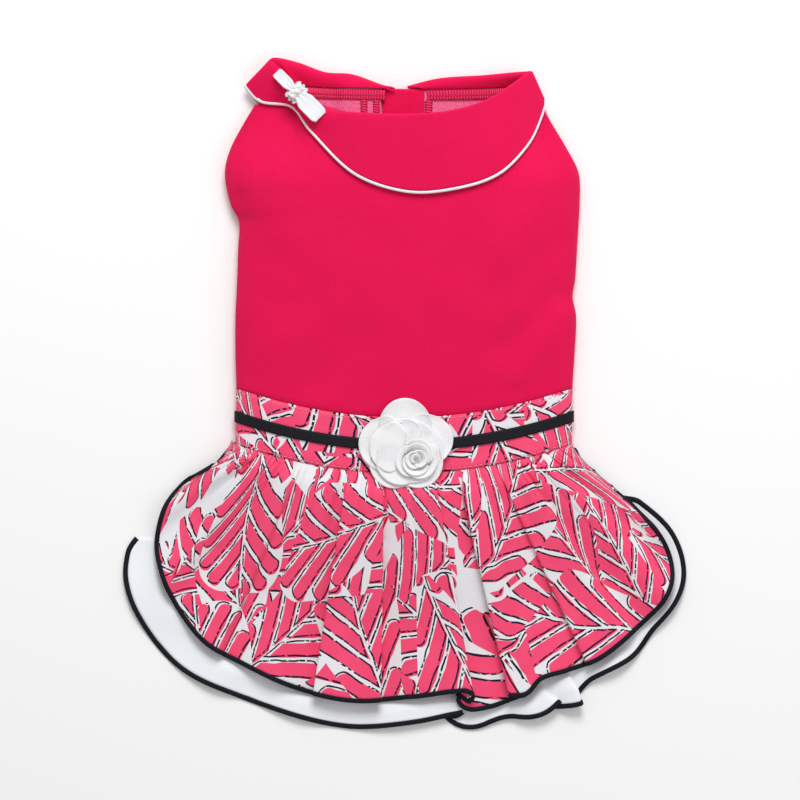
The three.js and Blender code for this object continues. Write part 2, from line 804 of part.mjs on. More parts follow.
// Places along the hem, four to a fold, between two shares of its length. Both layers use the same.
function foldShares(from, to) {
  const shares = [underskirtEnd];
  for (let row = 0; row < skirtFolds.length - 1; row += 1) {
    for (let k = 0; k < stepsPerFold; k += 1) {
      shares.push(mix(skirtFolds[row].valley, skirtFolds[row + 1].valley, k / stepsPerFold));
    }
  }
  shares.sort((a, b) => a - b);
  const clear = 0.004;
  const inside = shares.filter((share) => share > from + clear && share < to - clear);
  return [from, ...inside, to];
}

function clothByShares(shares, rows, surface, wall) {
  const last = shares.length - 1;
  const shareAt = (u) => {
    const place = clamp(u * last, 0, last);
    const row = Math.min(Math.floor(place), last - 1);
    return mix(shares[row], shares[row + 1], place - row);
  };
  return clothOn(last, rows, (u, v) => surface(shareAt(u), v), wall);
}

function makeSkirt() {
  const surface = (share, v) => skirtPoint(share, v, 0);
  return clothByShares(foldShares(0, 1), skirtRows, surface, printWall);
}

function underskirtPoint(share, down) {
  const reach = underskirtReach * column(underskirtShow, "at", "reach", share);
  const split = skirtRows / (skirtRows + 1);
  const inside = Math.min(down / split, 1);
  const beyond = Math.max(0, (down - split) / (1 - split)) * reach;
  const place = skirtPoint(share, inside, beyond);
  place.z -= layerGap;
  return place;
}

function makeUnderskirt() {
  const shares = foldShares(underskirtStart, underskirtEnd);
  return clothByShares(shares, skirtRows + 1, underskirtPoint, liningWall);
}

// A flat binding just past a layer's hem.
function hemBinding(shares, surface, wall) {
  const strip = (share, v) => {
    const hem = surface(share, 1);
    const outward = hem.clone().sub(surface(share, 0.97)).normalize();
    const place = hem.addScaledVector(outward, seamGap + bindingWidth * v);
    place.z = Math.max(place.z, wall / 2);
    return place;
  };
  return clothByShares(shares, 1, strip, wall);
}

function makeSkirtBinding() {
  return hemBinding(foldShares(0, 1), (share, v) => skirtPoint(share, v, 0), bindingWall);
}

function makeUnderskirtBinding() {
  return hemBinding(foldShares(underskirtStart, underskirtEnd), underskirtPoint, bindingWall);
}

// Assembly

function material(color, roughness) {
  return new THREE.MeshStandardMaterial({ color, roughness, metalness: 0 });
}

const materials = {
  knit: material(colours.knit, 0.9),
  print: material(colours.print, 0.85),
  lining: material(colours.lining, 0.7),
  binding: material(colours.binding, 0.75),
  satin: material(colours.satin, 0.35),
  petal: material(colours.petal, 0.8),
  pearl: material(colours.pearl, 0.25),
};

function piece(name, geometry, finish) {
  const mesh = new THREE.Mesh(geometry, materials[finish]);
  mesh.name = name;
  return mesh;
}

function makeFlower() {
  const flower = new THREE.Group();
  const outerBase = flowerWall / 2;
  const radius = flowerDiameter / 2;
  const innerBase = outerBase + flowerWall + 2 * seamGap;
  const roseBase = innerBase + flowerWall / 2 + innerLift + 2 * seamGap;
  flower.add(
    piece("flower_outer_layer", petalLayer(radius, outerBase, petalLift, Math.PI / 2), "petal"),
    piece("flower_inner_layer", petalLayer(innerDiameter / 2, innerBase, innerLift, 0), "petal"),
    piece("flower_rose", makeRose(roseBase), "petal"),
  );
  flower.position.copy(flowerPlace);
  return flower;
}

function makeBow() {
  const bow = new THREE.Group();
  const lower = piece("bow_loop_lower", makeBowLoop(bowLowerLength, bowRibbonWidth), "satin");
  const upper = piece("bow_loop_upper", makeBowLoop(bowUpperLength, bowRibbonWidth * 0.8), "satin");
  upper.rotation.z = Math.PI;
  const frill = piece("bow_frill", makeBowFrill(), "satin");
  bow.add(lower, upper, frill, piece("bow_knot", makeBowKnot(), "satin"));
  for (let k = 0; k < pearlCount; k += 1) {
    const ball = new THREE.IcosahedronGeometry(pearlDiameter / 2, 1);
    const pearl = piece(`bow_pearl_${k + 1}`, ball, "pearl");
    const y = (k - (pearlCount - 1) / 2) * pearlDiameter * 0.62;
    const x = ((k % 2 ? 1 : -1) * pearlDiameter) / 2;
    pearl.position.set(x, y, bowKnotHeight + pearlDiameter / 2);
    bow.add(pearl);
  }
  const along = bowTo.clone().sub(bowFrom).normalize();
  const across = new THREE.Vector3(0, 0, 1).cross(along).normalize();
  const up = along.clone().cross(across);
  bow.quaternion.setFromRotationMatrix(new THREE.Matrix4().makeBasis(along, across, up));
  bow.position.lerpVectors(bowFrom, bowTo, bowPlace);
  bow.position.addScaledVector(up, knitWall / 2 + bowRibbonWall + 3 * seamGap);
  return bow;
}

const dress = new THREE.Group();
dress.add(
  piece("back_panel", makeBackPanel(), "knit"),
  piece("belly_left", makeBellyHalf(-1, overlapEdge), "knit"),
  piece("belly_right", makeBellyHalf(1, overlapEdge - overlapWidth), "knit"),
  piece("closure_tape", makeClosureTape(), "knit"),
  piece("collar", makeCollar(), "knit"),
  piece("collar_piping", makeCollarPiping(), "satin"),
  piece("neck_binding_left", makeNeckBinding(-1), "knit"),
  piece("neck_binding_right", makeNeckBinding(1), "knit"),
  piece("waistband", makeWaistband(), "print"),
  piece("waist_ribbon", makeWaistRibbon(), "binding"),
  piece("skirt", makeSkirt(), "print"),
  piece("skirt_binding", makeSkirtBinding(), "binding"),
  piece("underskirt", makeUnderskirt(), "lining"),
  piece("underskirt_binding", makeUnderskirtBinding(), "binding"),
  makeFlower(),
  makeBow(),
);

export default dress;
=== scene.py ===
"""A small dog dress lying flat on its belly, back up, seen from straight above.

Lengths are in millimetres, and are turned to metres where a mesh is made.
+X is the photograph's right, +Y points to the neck and +Z up from the floor.
"""
import bisect
import math

import bpy
from mathutils import Matrix, Vector, noise


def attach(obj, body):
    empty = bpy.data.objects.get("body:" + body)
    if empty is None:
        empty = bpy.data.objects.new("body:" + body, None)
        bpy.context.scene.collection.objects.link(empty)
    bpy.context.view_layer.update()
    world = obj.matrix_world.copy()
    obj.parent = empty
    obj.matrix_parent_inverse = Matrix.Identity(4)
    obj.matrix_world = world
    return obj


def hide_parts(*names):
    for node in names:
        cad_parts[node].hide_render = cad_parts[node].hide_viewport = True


MM = 0.001


def table(columns, *rows):
    """A table's rows, with each value under the name of its column."""
    names = columns.split()
    return [dict(zip(names, row)) for row in rows]


# Cloth
KNIT_WALL = 1.6
PRINT_WALL = 0.8
LINING_WALL = 0.6
BAND_WALL = 1.2
FACING_WALL = 0.8
SEAM_GAP = 0.3

# Bodice
CHEST_WIDTH = 200
BODICE_LENGTH = 180
SIDE_HEIGHT = 5
CHEST_RISE = 21
WAIST_RISE = 10
SIDE_ROLL = 10
WAIST_DIP = 18
BACK_FULLNESS = 2.6
NECK_FULLNESS = 2.4
CHEST_SHARE = 0.6
SHOULDER_SHARE = 0.72
BELLY_LIFT_SHARES = (0.68, 0.85)
SEAM_DIP = 0.9
SEAM_SOFTNESS = 1.4

# Slight unevenness of the bodice and of the collar: how high it is and how long, with its seed
BODICE_WAVES = table(
    "height length seed",
    (0.5, 46, 3.1),
    (0.25, 19, 7.7),
)
COLLAR_WAVES = table(
    "height length seed",
    (0.6, 24, 11.3),
    (0.25, 9, 2.3),
)

# Belly closure and leg holes
OVERLAP_WIDTH = 20
OVERLAP_EDGE = -13
FLAP_SLOPE = 8
TAPE_WALL = 1.0
LEG_HOLE_WIDTH = 44
LEG_HOLE_LENGTH = 56
LEG_HOLE_OUT = 62
LEG_HOLE_UP = 130
LEG_BINDING_WIDTH = 4.2
LEG_BINDING_HEIGHT = 2.1
PLACKET_RIGHT = 11.5
PLACKET_BOTTOM = 120
PLACKET_FOLD = 4

# Neck and collar
NECK_WIDTH = 131
NECK_SHIFT = 4
NECK_TOP = 190
NECK_RISE = 17
BACK_NECK_DIP = 21
BELLY_NECK_DIP = 3
COLLAR_FALL = 44
COLLAR_HEIGHT = 32
COLLAR_LIFT = 1.8
THROAT_TURN = 172
STAND_SHARE = 1 / 3
PIPING_DIAMETER = 1.7
PIPING_WIDTH = 1.955
NECK_BINDING_WIDTH = 5.2
NECK_BINDING_WALL = 1.0
LEFT_BINDING_TURN = 167
LAST_BINDING_TURN = 106
FACING_LENGTH = 34

# Overlocked edges seen through the neck: left and right say where each lies across the belly.
FACING_EDGES = table(
    "name side left right",
    ("flap_edge_outer", -1, -24.5, -21),
    ("flap_edge_inner", -1, -17.4, -14),
    ("placket_edge", 1, 12, 16),
)
FACING_EDGE_WALL = 0.6
NECK_STITCHES = 42
EDGE_STITCHES = 24
OVERLOCK_WIDTH = 0.7
OVERLOCK_HEIGHT = 0.6

# Waistband
WAISTBAND_HEIGHT = 32
RIBBON_WIDTH = 6.4
RIBBON_WALL = 0.7
TOPSTITCH_INSET = 1.4
STITCH_LENGTH = 2.4
STITCH_GAP = 0.7
THREAD_WIDTH = 0.5
THREAD_SIDES = 6

# A stitch's thickness, as a share of the thread's, from one end of the stitch to the other
STITCH_SECTIONS = table(
    "far thick",
    (-0.5, 0.35),
    (-0.3, 0.9),
    (0, 1),
    (0.3, 0.9),
    (0.5, 0.35),
)

# Flower: a petal's heading is in degrees, its length is from the flower's middle.
FLOWER_SHIFT = 1
FLOWER_LIFT = 1.6
PETAL_WALL = 0.9
PETAL_EASE = 1.15
OUTER_PETALS = table(
    "heading length width",
    (92, 27, 27),
    (14, 27.5, 27),
    (-56, 26.5, 27),
    (-122, 26.5, 27),
    (176, 27, 28),
)
INNER_PETALS = table(
    "heading length width",
    (66, 17.5, 22),
    (8, 20.5, 24),
    (118, 18.5, 22),
    (-56, 20, 25),
    (-124, 21.5, 25),
    (172, 22, 25),
)

# The rose's rings of petals, from its heart out: turn is how far round a petal goes, in radians.
ROSE_ACROSS = 6
ROSE_DOWN = 8
ROSE_LIFT = 4.6
ROSE_PETAL_WALL = 0.8
ROSE_RINGS = table(
    "radius turn height flare count",
    (1.6, 4.2, 3.6, 1.6, 1),
    (3.6, 3.6, 3.4, 2.5, 2),
    (6, 3.2, 2.7, 3.4, 2),
    (8.2, 2.6, 1.8, 3.8, 3),
)

# Bow
BOW_RIBBON_WALL = 0.7
BOW_UPPER_END = (-70, 196.5)
BOW_LOWER_END = (-49, 171.5)
BOW_KNOT_SHARE = 0.47
LOWER_LOOP_LENGTH = 19
LOWER_LOOP_WIDTH = 10.4
UPPER_LOOP_LENGTH = 14.5
UPPER_LOOP_WIDTH = 6.6
LOOP_START = 2.2
FRILL_WALL = 0.5
FRILL_WIDTH = 11.6
FRILL_LENGTH = 9.2
BOW_KNOT_WALL = 0.6
KNOT_WIDTH = 8.4
KNOT_LENGTH = 5.2
KNOT_HEIGHT = 3.8
KNOT_MIDDLE = 2.1
PEARL_DIAMETER = 2.4
PEARL_HEIGHT = 4.6
PEARL_PLACES = [(-1.9, 1.5), (-0.6, -1.2), (1.2, 0.6), (-0.3, 3.4), (0.9, -3.2)]

# Skirts
SKIRT_WIDTH = 292
SKIRT_SHIFT = 6
SKIRT_LENGTH = 128
SKIRT_FLAT_WIDTH = 600
FOLD_HEIGHT = 7.5
GATHER_PUFF = 4
LAYER_GAP = 2.3
HEM_TUCK = 1.6
UNDERSKIRT_REACH = 20
UNDERSKIRT_COVERED = 6 / 7
WAIST_BUNCHING = 0.085
FINE_GATHERS = 46
WIDE_GATHERS = 21
BINDING_WIDTH = 3
BINDING_WALL = 1.5
SKIRT_BINDING_SHOWS = (0.025, 0.925)
UNDERSKIRT_BINDING_SHOWS = (0.15, 0.915)

# Camera: the photograph's frame is 456 mm wide, and it is looked at from straight above.
VIEW_WIDTH = 456
VIEW_CENTRE = (-2.3, 9.7)
VIEW_DISTANCE = 4500
SENSOR_WIDTH = 36

# Lights, with their places and sizes in metres and their power in watts
LIGHTS = table(
    "name place size power",
    ("key_light", (0.1, 1.25, 1.3), 0.8, 22),
    ("fill_light", (1.3, -0.3, 1.2), 1.2, 3),
)
WORLD_LIGHT = 0.5

# The bodice's outline from below the waist to the shoulder: up is a share of the bodice's length,
# left and right are shares of half the chest's width.
BODICE_OUTLINE = table(
    "up left right",
    (-0.2, 0.96, 0.955),
    (0.1, 0.955, 0.96),
    (0.19, 0.96, 0.97),
    (0.32, 0.96, 0.98),
    (0.38, 0.955, 0.96),
    (0.44, 0.95, 0.975),
    (0.53, 0.945, 0.985),
    (0.62, 0.94, 0.995),
    (0.67, 0.985, 1.0),
    (0.77, 1.02, 0.995),
    (0.845, 0.99, 0.93),
    (0.93, 0.91, 0.84),
    (0.985, 0.85, 0.79),
)

# The collar round the neck, from the throat over the left side (-90), the back (0) and the right
# side (90) to the throat again. X values are shares of half the neck's width from its middle,
# Y values shares of the collar's fall from the neck's top.
COLLAR_SECTIONS = table(
    "turn fold_x fold_y edge_x edge_y",
    (-172, -0.23, -0.05, -0.24, -0.78),
    (-150, -0.51, 0.1, -0.53, -0.74),
    (-130, -0.75, 0.13, -0.81, -0.6),
    (-112, -0.98, 0.25, -1.1, -0.42),
    (-100, -1.16, 0.31, -1.33, -0.23),
    (-90, -1.23, 0.27, -1.43, -0.03),
    (-78, -1.17, 0.14, -1.3, -0.22),
    (-65, -0.99, -0.12, -1.04, -0.29),
    (-45, -0.77, -0.4, -0.86, -0.62),
    (-22, -0.39, -0.45, -0.49, -1.16),
    (0, 0.0, -0.46, -0.05, -1.39),
    (22, 0.38, -0.4, 0.36, -1.36),
    (45, 0.69, -0.24, 0.75, -1.17),
    (65, 0.88, -0.05, 1.01, -0.78),
    (80, 1.0, 0.08, 1.13, -0.4),
    (90, 1.05, 0.12, 1.15, -0.21),
    (105, 0.95, 0.13, 1.09, -0.36),
    (125, 0.64, 0.09, 0.82, -0.6),
    (150, 0.25, 0.05, 0.34, -0.74),
    (172, -0.03, -0.05, -0.01, -0.78),
)

# The skirt's hem from the left end of the waist round to the right end: across is a share of half
# the skirt's width, down a share of its length below the waistband.
HEM_OUTLINE = table(
    "across down",
    (-0.713, -0.147),
    (-0.758, -0.058),
    (-0.875, 0.023),
    (-0.961, 0.134),
    (-1.0, 0.303),
    (-0.984, 0.424),
    (-0.945, 0.539),
    (-0.825, 0.731),
    (-0.653, 0.847),
    (-0.462, 0.945),
    (-0.248, 1.002),
    (-0.01, 0.985),
    (0.138, 0.967),
    (0.195, 0.97),
    (0.24, 1.012),
    (0.294, 1.011),
    (0.365, 0.989),
    (0.45, 0.958),
    (0.493, 0.904),
    (0.59, 0.869),
    (0.723, 0.811),
    (0.891, 0.651),
    (0.973, 0.548),
    (1.0, 0.446),
    (0.965, 0.299),
    (0.844, 0.138),
    (0.669, -0.035),
    (0.63, -0.089),
)

# How far the underskirt shows below the skirt: at is a share of the hem's length, reach a share of
# the underskirt's greatest reach.
UNDERSKIRT_SHOW = table(
    "at reach",
    (0.139, 0.69),
    (0.168, 1.02),
    (0.22, 1.08),
    (0.308, 0.9),
    (0.365, 0.77),
    (0.49, 0.74),
    (0.53, 0.68),
    (0.587, 0.5),
    (0.64, 0.75),
    (0.677, 0.82),
    (0.7, 0.45),
    (0.74, 0.52),
    (0.775, 0.35),
    (0.87, 0.3),
    (0.93, 0.12),
)

# The folds along the skirt's hem: at is a share of the hem's length, height a share of the fold
# height, and lean and out how far the cloth is pushed along and across the hem there, so that a
# fold laps over.
SKIRT_FOLDS = table(
    "at height lean out",
    (0, 0, 0, 0),
    (0.035, 0.35, 0, 0),
    (0.07, 0.1, 0, 0),
    (0.105, 0.55, 1, 0),
    (0.14, 0.1, -1, 0),
    (0.18, 0.75, 2, 0),
    (0.215, 0.05, -1, 0),
    (0.27, 0.8, 3, 0),
    (0.29, 0.1, -1, 0),
    (0.34, 0.7, 0, 0),
    (0.388, 0, 2, 0),
    (0.397, 0.9, -4, 0),
    (0.43, 0.75, 0, 0),
    (0.453, 1, 4, 0),
    (0.462, 0, -2, 0),
    (0.51, 0.7, 0, 0),
    (0.552, 1, 4.5, -1),
    (0.558, 0.7, 2, 2),
    (0.564, 0.45, -9, 3.5),
    (0.608, 0.05, 6.5, 1),
    (0.619, 0.95, -8, -1.5),
    (0.65, 0.75, 0, 0),
    (0.69, 0.1, 2, 0),
    (0.703, 0.8, -3, 0),
    (0.74, 0.8, 2, 0),
    (0.765, 0.1, -1, 0),
    (0.805, 0.8, 0, 0),
    (0.845, 0.15, 0, 0),
    (0.885, 0.5, 0, 0),
    (0.93, 0.15, 0, 0),
    (0.965, 0.3, 0, 0),
    (1, 0, 0, 0),
)

# The folds of the underskirt where it shows below the skirt.
UNDERSKIRT_FOLDS = table(
    "at height lean out",
    (0.139, 0, 0, 0),
    (0.19, 0.3, 0, 0),
    (0.24, 0, 0, 0),
    (0.29, 0.45, 1, 0),
    (0.33, 0, 0, 0),
    (0.38, 0.4, 0, 0),
    (0.42, 0.05, 0, 0),
    (0.48, 0.45, 0, 0),
    (0.549, 0.4, 2.5, -1),
    (0.554, 0.2, 1.5, 3),
    (0.559, 0, -7.5, 6),
    (0.59, 0.2, 0, 0),
    (0.632, 0.7, -1, 1.5),
    (0.645, 0.1, -2, 2.5),
    (0.668, 0.9, 5.5, 3.5),
    (0.68, 0, -4, 0),
    (0.72, 0.6, 0, 0),
    (0.755, 0.1, 0, 0),
    (0.8, 0.5, 0, 0),
    (0.84, 0.05, 0, 0),
    (0.93, 0, 0, 0),
)

# Soft dents and creases of the bodice: a line from one place to another, how wide it is and how
# far it stands out (or in, below zero).
BODICE_CREASES = table(
    "start end width height",
    ((97, 78), (58, 40), 9, -1.7),
    ((94, 60), (66, 22), 8, 1.3),
    ((88, 98), (52, 72), 11, -1.3),
    ((-92, 112), (-94, 126), 4, -2.6),
    ((-88, 100), (-52, 76), 12, -1.4),
    ((-90, 72), (-40, 54), 12, -1.1),
    ((-86, 34), (-38, 58), 10, 1.1),
    ((-30, 96), (34, 88), 16, -1.0),
    ((80, 128), (60, 96), 12, 1.1),
    ((-50, 20), (-20, 44), 9, -1.0),
)

HALF_CHEST = CHEST_WIDTH / 2
HALF_NECK = NECK_WIDTH / 2
UNDERSKIRT_START = UNDERSKIRT_SHOW[0]["at"]
UNDERSKIRT_END = UNDERSKIRT_SHOW[-1]["at"]


# Numbers and curves

def clamp(value, low, high):
    return max(low, min(high, value))


def mix(a, b, t):
    return a + (b - a) * t


def ease(value, low, high):
    """A smooth step from 0 at low to 1 at high."""
    t = clamp((value - low) / (high - low), 0, 1)
    return t * t * (3 - 2 * t)


def dome(share, fullness):
    """A rounded rise from 0 at -1 and 1 to 1 at 0, flatter on top the greater its fullness."""
    return math.sqrt(max(0, 1 - abs(share) ** fullness))


def hermite(start, leave, end, arrive, t):
    """A curve from start to end that leaves and arrives in the directions given."""
    s = 1 - t
    here = start * (s * s * (1 + 2 * t)) + end * (t * t * (3 - 2 * t))
    return here + leave * (t * s * s) - arrive * (t * t * s)


def column(rows, place, value, at):
    """Reads a column of a table at a place between its rows, along a smooth curve."""
    last = len(rows) - 1
    t = clamp(at, rows[0][place], rows[last][place])
    row = 0
    while row < last - 1 and rows[row + 1][place] < t:
        row += 1

    def slope(k):
        a, b = rows[max(k - 1, 0)], rows[min(k + 1, last)]
        return (b[value] - a[value]) / (b[place] - a[place])

    start, end = rows[row], rows[row + 1]
    span = end[place] - start[place]
    q = (t - start[place]) / span
    rest = 1 - q
    curve = start[value] * rest * rest * (1 + 2 * q) + end[value] * q * q * (3 - 2 * q)
    return curve + slope(row) * span * q * rest * rest - slope(row + 1) * span * q * q * rest


def hump(share):
    """A rounded hump, 1 high at 0 and gone at about 2 on either side."""
    return math.exp(-share * share)


def waver(x, y, size, seed=0.0):
    """Soft unevenness from -1 to 1, about as long as size."""
    return noise.noise(Vector((x / size, y / size, seed)))


def waves(rows, x, y):
    """The unevenness of a table's waves, added up."""
    return sum(row["height"] * waver(x, y, row["length"], row["seed"]) for row in rows)


class Route:
    """A smooth curve through a few points, read by its share of the length."""

    def __init__(self, points, steps=16):
        self.points = []
        ends = [points[0] * 2 - points[1], *points, points[-1] * 2 - points[-2]]
        for k in range(1, len(ends) - 2):
            self.points += [self.between(ends[k - 1:k + 3], n / steps) for n in range(steps)]
        self.points.append(points[-1])
        self.reached = [0.0]
        for a, b in zip(self.points, self.points[1:]):
            self.reached.append(self.reached[-1] + (b - a).length)
        self.length = self.reached[-1]

    @staticmethod
    def between(four, t):
        """A centripetal Catmull-Rom curve's point between the middle two of four points."""
        knots = [0.0]
        for a, b in zip(four, four[1:]):
            knots.append(knots[-1] + math.sqrt((b - a).length))
        at = mix(knots[1], knots[2], t)
        places = four
        for width in (1, 2):
            places = [
                a.lerp(b, (at - knots[k]) / (knots[k + width] - knots[k]))
                for k, (a, b) in enumerate(zip(places, places[1:]))
            ]
        return places[0].lerp(places[1], t)

    def at(self, share):
        far = clamp(share, 0, 1) * self.length
        k = clamp(bisect.bisect_right(self.reached, far) - 1, 0, len(self.points) - 2)
        span = self.reached[k + 1] - self.reached[k]
        return self.points[k].lerp(self.points[k + 1], (far - self.reached[k]) / span)

    def along(self, share):
        step = 2e-3
        return (self.at(share + step) - self.at(share - step)).normalized()


# Meshes

def mesh_piece(name, points, faces, uvs):
    """Makes an object of points in millimetres, with its corners' UVs in metres of flat cloth."""
    mesh = bpy.data.meshes.new(name)
    mesh.from_pydata([tuple(p * MM) for p in points], [], faces)
    layer = mesh.uv_layers.new(name="cloth")
    layer.data.foreach_set("uv", [value * MM for corner in uvs for value in corner])
    mesh.shade_smooth()
    made = bpy.data.objects.new(name, mesh)
    bpy.context.collection.objects.link(made)
    return made


def cloth(name, columns, rows, surface, flat, wall, start=(0, 0), ring=False, keep=None, inside=0):
    """A sheet of cloth on a surface given by its two shares, with a wall by Solidify.

    flat is the sheet's width and height laid flat, from start, or a function that gives its places.
    keep says which faces stay, and inside is the material slot of the sheet's inner face.
    """
    def flat_place(u, v):
        return flat(u, v) if callable(flat) else (start[0] + u * flat[0], start[1] + v * flat[1])

    lines = columns if ring else columns + 1
    points = [surface(i / columns, j / rows) for i in range(lines) for j in range(rows + 1)]
    laid = [[flat_place(i / columns, j / rows) for j in range(rows + 1)] for i in range(columns + 1)]
    faces, uvs = [], []
    for i in range(columns):
        for j in range(rows):
            corners = [(i, j), (i + 1, j), (i + 1, j + 1), (i, j + 1)]
            face = [(a % lines) * (rows + 1) + b for a, b in corners]
            if keep and not keep(sum((points[k] for k in face), Vector()) / 4):
                continue
            faces.append(face)
            uvs += [laid[a][b] for a, b in corners]
    made = mesh_piece(name, points, faces, uvs)
    solid = made.modifiers.new("wall", "SOLIDIFY")
    solid.thickness = wall * MM
    solid.offset = 0
    solid.material_offset = inside
    return made


def sweep(name, path, sides_out, width, height, sides=12, closed=False):
    """A rounded strip along a path: sides_out gives, for each point, its width's direction."""
    made = mesh_piece(name, *strip(path, sides_out, width, height, sides, closed))
    point_outwards(made)
    return made


def point_outwards(piece):
    select_only(piece)
    bpy.ops.object.mode_set(mode="EDIT")
    bpy.ops.mesh.select_all(action="SELECT")
    bpy.ops.mesh.normals_make_consistent(inside=False)
    bpy.ops.object.mode_set(mode="OBJECT")


def strip(path, sides_out, width, height, sides, closed=False):
    """The points, faces and UVs of a rounded strip along a path."""
    points, faces, uvs = [], [], []
    last = len(path) - 1
    reached = [0.0]
    for a, b in zip(path, path[1:]):
        reached.append(reached[-1] + (b - a).length)
    for k, place in enumerate(path):
        before, after = path[max(k - 1, 0)], path[min(k + 1, last)]
        if closed:
            before, after = path[k - 1], path[(k + 1) % (last + 1)]
        along = (after - before).normalized()
        out = sides_out[k] - along * sides_out[k].dot(along)
        out.normalize()
        up = along.cross(out)
        for side in range(sides):
            angle = 2 * math.pi * side / sides
            wide = math.cos(angle)
            tall = math.sin(angle)
            points.append(place + out * (wide * width / 2) + up * (tall * height / 2))
    steps = last + 1 if closed else last
    for k in range(steps):
        for side in range(sides):
            ring = ((k + 1) % (last + 1)) * sides
            turn = (side + 1) % sides
            faces.append([k * sides + side, ring + side, ring + turn, k * sides + turn])
            far = reached[k + 1] if k < last else reached[k] + (path[0] - path[k]).length
            low, high = side * width * 2 / sides, (side + 1) * width * 2 / sides
            uvs += [(reached[k], low), (far, low), (far, high), (reached[k], high)]
    if not closed:
        ends = [list(range(sides)), [last * sides + side for side in range(sides)][::-1]]
        for face in ends:
            faces.append(face)
            uvs += [(0.0, 0.0)] * sides
    return points, faces, uvs


def select_only(*pieces):
    bpy.ops.object.select_all(action="DESELECT")
    for piece in pieces:
        piece.select_set(True)
    bpy.context.view_layer.objects.active = pieces[0]


def joined(name, pieces):
    """Joins pieces into the first, with their modifiers applied."""
    for piece in pieces:
        select_only(piece)
        for modifier in list(piece.modifiers):
            bpy.ops.object.modifier_apply(modifier=modifier.name)
    select_only(*pieces)
    bpy.ops.object.join()
    made = bpy.context.view_layer.objects.active
    made.name = name
    made.data.name = name
    return made


def soften(piece):
    """Rounds a piece by one subdivision, the same in the view and the render."""
    rounder = piece.modifiers.new("soft", "SUBSURF")
    rounder.levels = 1
    rounder.render_levels = 1


def stitches(name, path, sides_out, ups):
    """A row of stitches along a path, each a short bead of thread with tapered ends."""
    route = Route(path, steps=1)
    count = int(route.length // (STITCH_LENGTH + STITCH_GAP))
    points, faces = [], []
    for n in range(count):
        middle = (n + 0.5) / count
        k = int(middle * (len(path) - 1))
        along = route.along(middle)
        out = sides_out[k].normalized()
        up = ups[k].normalized()
        centre = route.at(middle)
        rings = []
        for section in STITCH_SECTIONS:
            far = section["far"]
            dip = up * (-0.35 * THREAD_WIDTH * abs(far))
            rings.append(range(len(points), len(points) + THREAD_SIDES))
            for side in range(THREAD_SIDES):
                angle = 2 * math.pi * side / THREAD_SIDES
                offset = out * math.cos(angle) + up * math.sin(angle)
                offset *= section["thick"] * THREAD_WIDTH / 2
                points.append(centre + along * (far * STITCH_LENGTH) + offset + dip)
        for low, high in zip(rings, rings[1:]):
            for side in range(THREAD_SIDES):
                turn = (side + 1) % THREAD_SIDES
                faces.append([low[side], low[turn], high[turn], high[side]])
        faces.append(list(rings[0])[::-1])
        faces.append(list(rings[-1]))
    made = mesh_piece(name, points, faces, [(0, 0)] * sum(len(face) for face in faces))
    point_outwards(made)
    return made


# Materials

def srgb(code):
    """A hex colour such as "e4144f" as linear red, green, blue and alpha."""
    parts = [int(code[k:k + 2], 16) / 255 for k in (0, 2, 4)]
    linear = [c / 12.92 if c <= 0.04045 else ((c + 0.055) / 1.055) ** 2.4 for c in parts]
    return (*linear, 1.0)


def add(tree, kind, links=None, **settings):
    """Adds a node with its settings. Each link is a value or another node's output.

    A socket goes by its name, or by its number where the node has several of that name.
    """
    node = tree.nodes.new(kind)
    for name, value in settings.items():
        setattr(node, name, value)
    for socket, value in (links or {}).items():
        if isinstance(value, bpy.types.NodeSocket):
            tree.links.new(value, node.inputs[socket])
        else:
            node.inputs[socket].default_value = value
    return node


def new_material(name, colour, roughness, **values):
    """A material of a hex colour. Values are for its shader's sockets, named in small letters."""
    made = bpy.data.materials.new(name)
    made.use_nodes = True
    shader = made.node_tree.nodes["Principled BSDF"]
    shader.inputs["Base Color"].default_value = srgb(colour)
    shader.inputs["Roughness"].default_value = roughness
    shader.inputs["Specular IOR Level"].default_value = 0.25
    for name_of, value in values.items():
        shader.inputs[name_of.replace("_", " ").title()].default_value = value
    return made, made.node_tree, shader


# Sizes of the patterns on the cloths, in millimetres
FUZZ_SIZE = 1.1
WALE_WIDTH = 1.3
FADED_PATCH = 38
STREAK_WIDTH = 0.9
# How far from a petal's root its painted creamy shade reaches
PAINTED_SHADE_REACH = 6


def thread_bump(tree, shader, across, along, depth, fuzz, source="UV"):
    """Bump of crossing threads, spaced across and along in millimetres, with fuzz over it.

    Gives the coordinates that it reads, for other patterns of the same cloth.
    """
    place = add(tree, "ShaderNodeTexCoord").outputs[source]
    parts = add(tree, "ShaderNodeSeparateXYZ", {0: place}).outputs
    grain = add(tree, "ShaderNodeTexNoise", {"Vector": place, "Scale": 1 / (FUZZ_SIZE * MM),
                                             "Detail": 3.0, "Roughness": 0.65}).outputs[0]
    height = add(tree, "ShaderNodeMath", {0: grain, 1: fuzz}, operation="MULTIPLY").outputs[0]
    for part, pitch in zip(parts, (across, along)):
        if pitch:
            turns = add(tree, "ShaderNodeMath", {0: part, 1: 2 * math.pi / (pitch * MM)},
                        operation="MULTIPLY").outputs[0]
            wave = add(tree, "ShaderNodeMath", {0: turns}, operation="SINE").outputs[0]
            height = add(tree, "ShaderNodeMath", {0: height, 1: wave}, operation="ADD").outputs[0]
    bump = add(tree, "ShaderNodeBump", {"Strength": 1.0, "Distance": depth * MM, "Height": height})
    tree.links.new(bump.outputs[0], shader.inputs["Normal"])
    return place


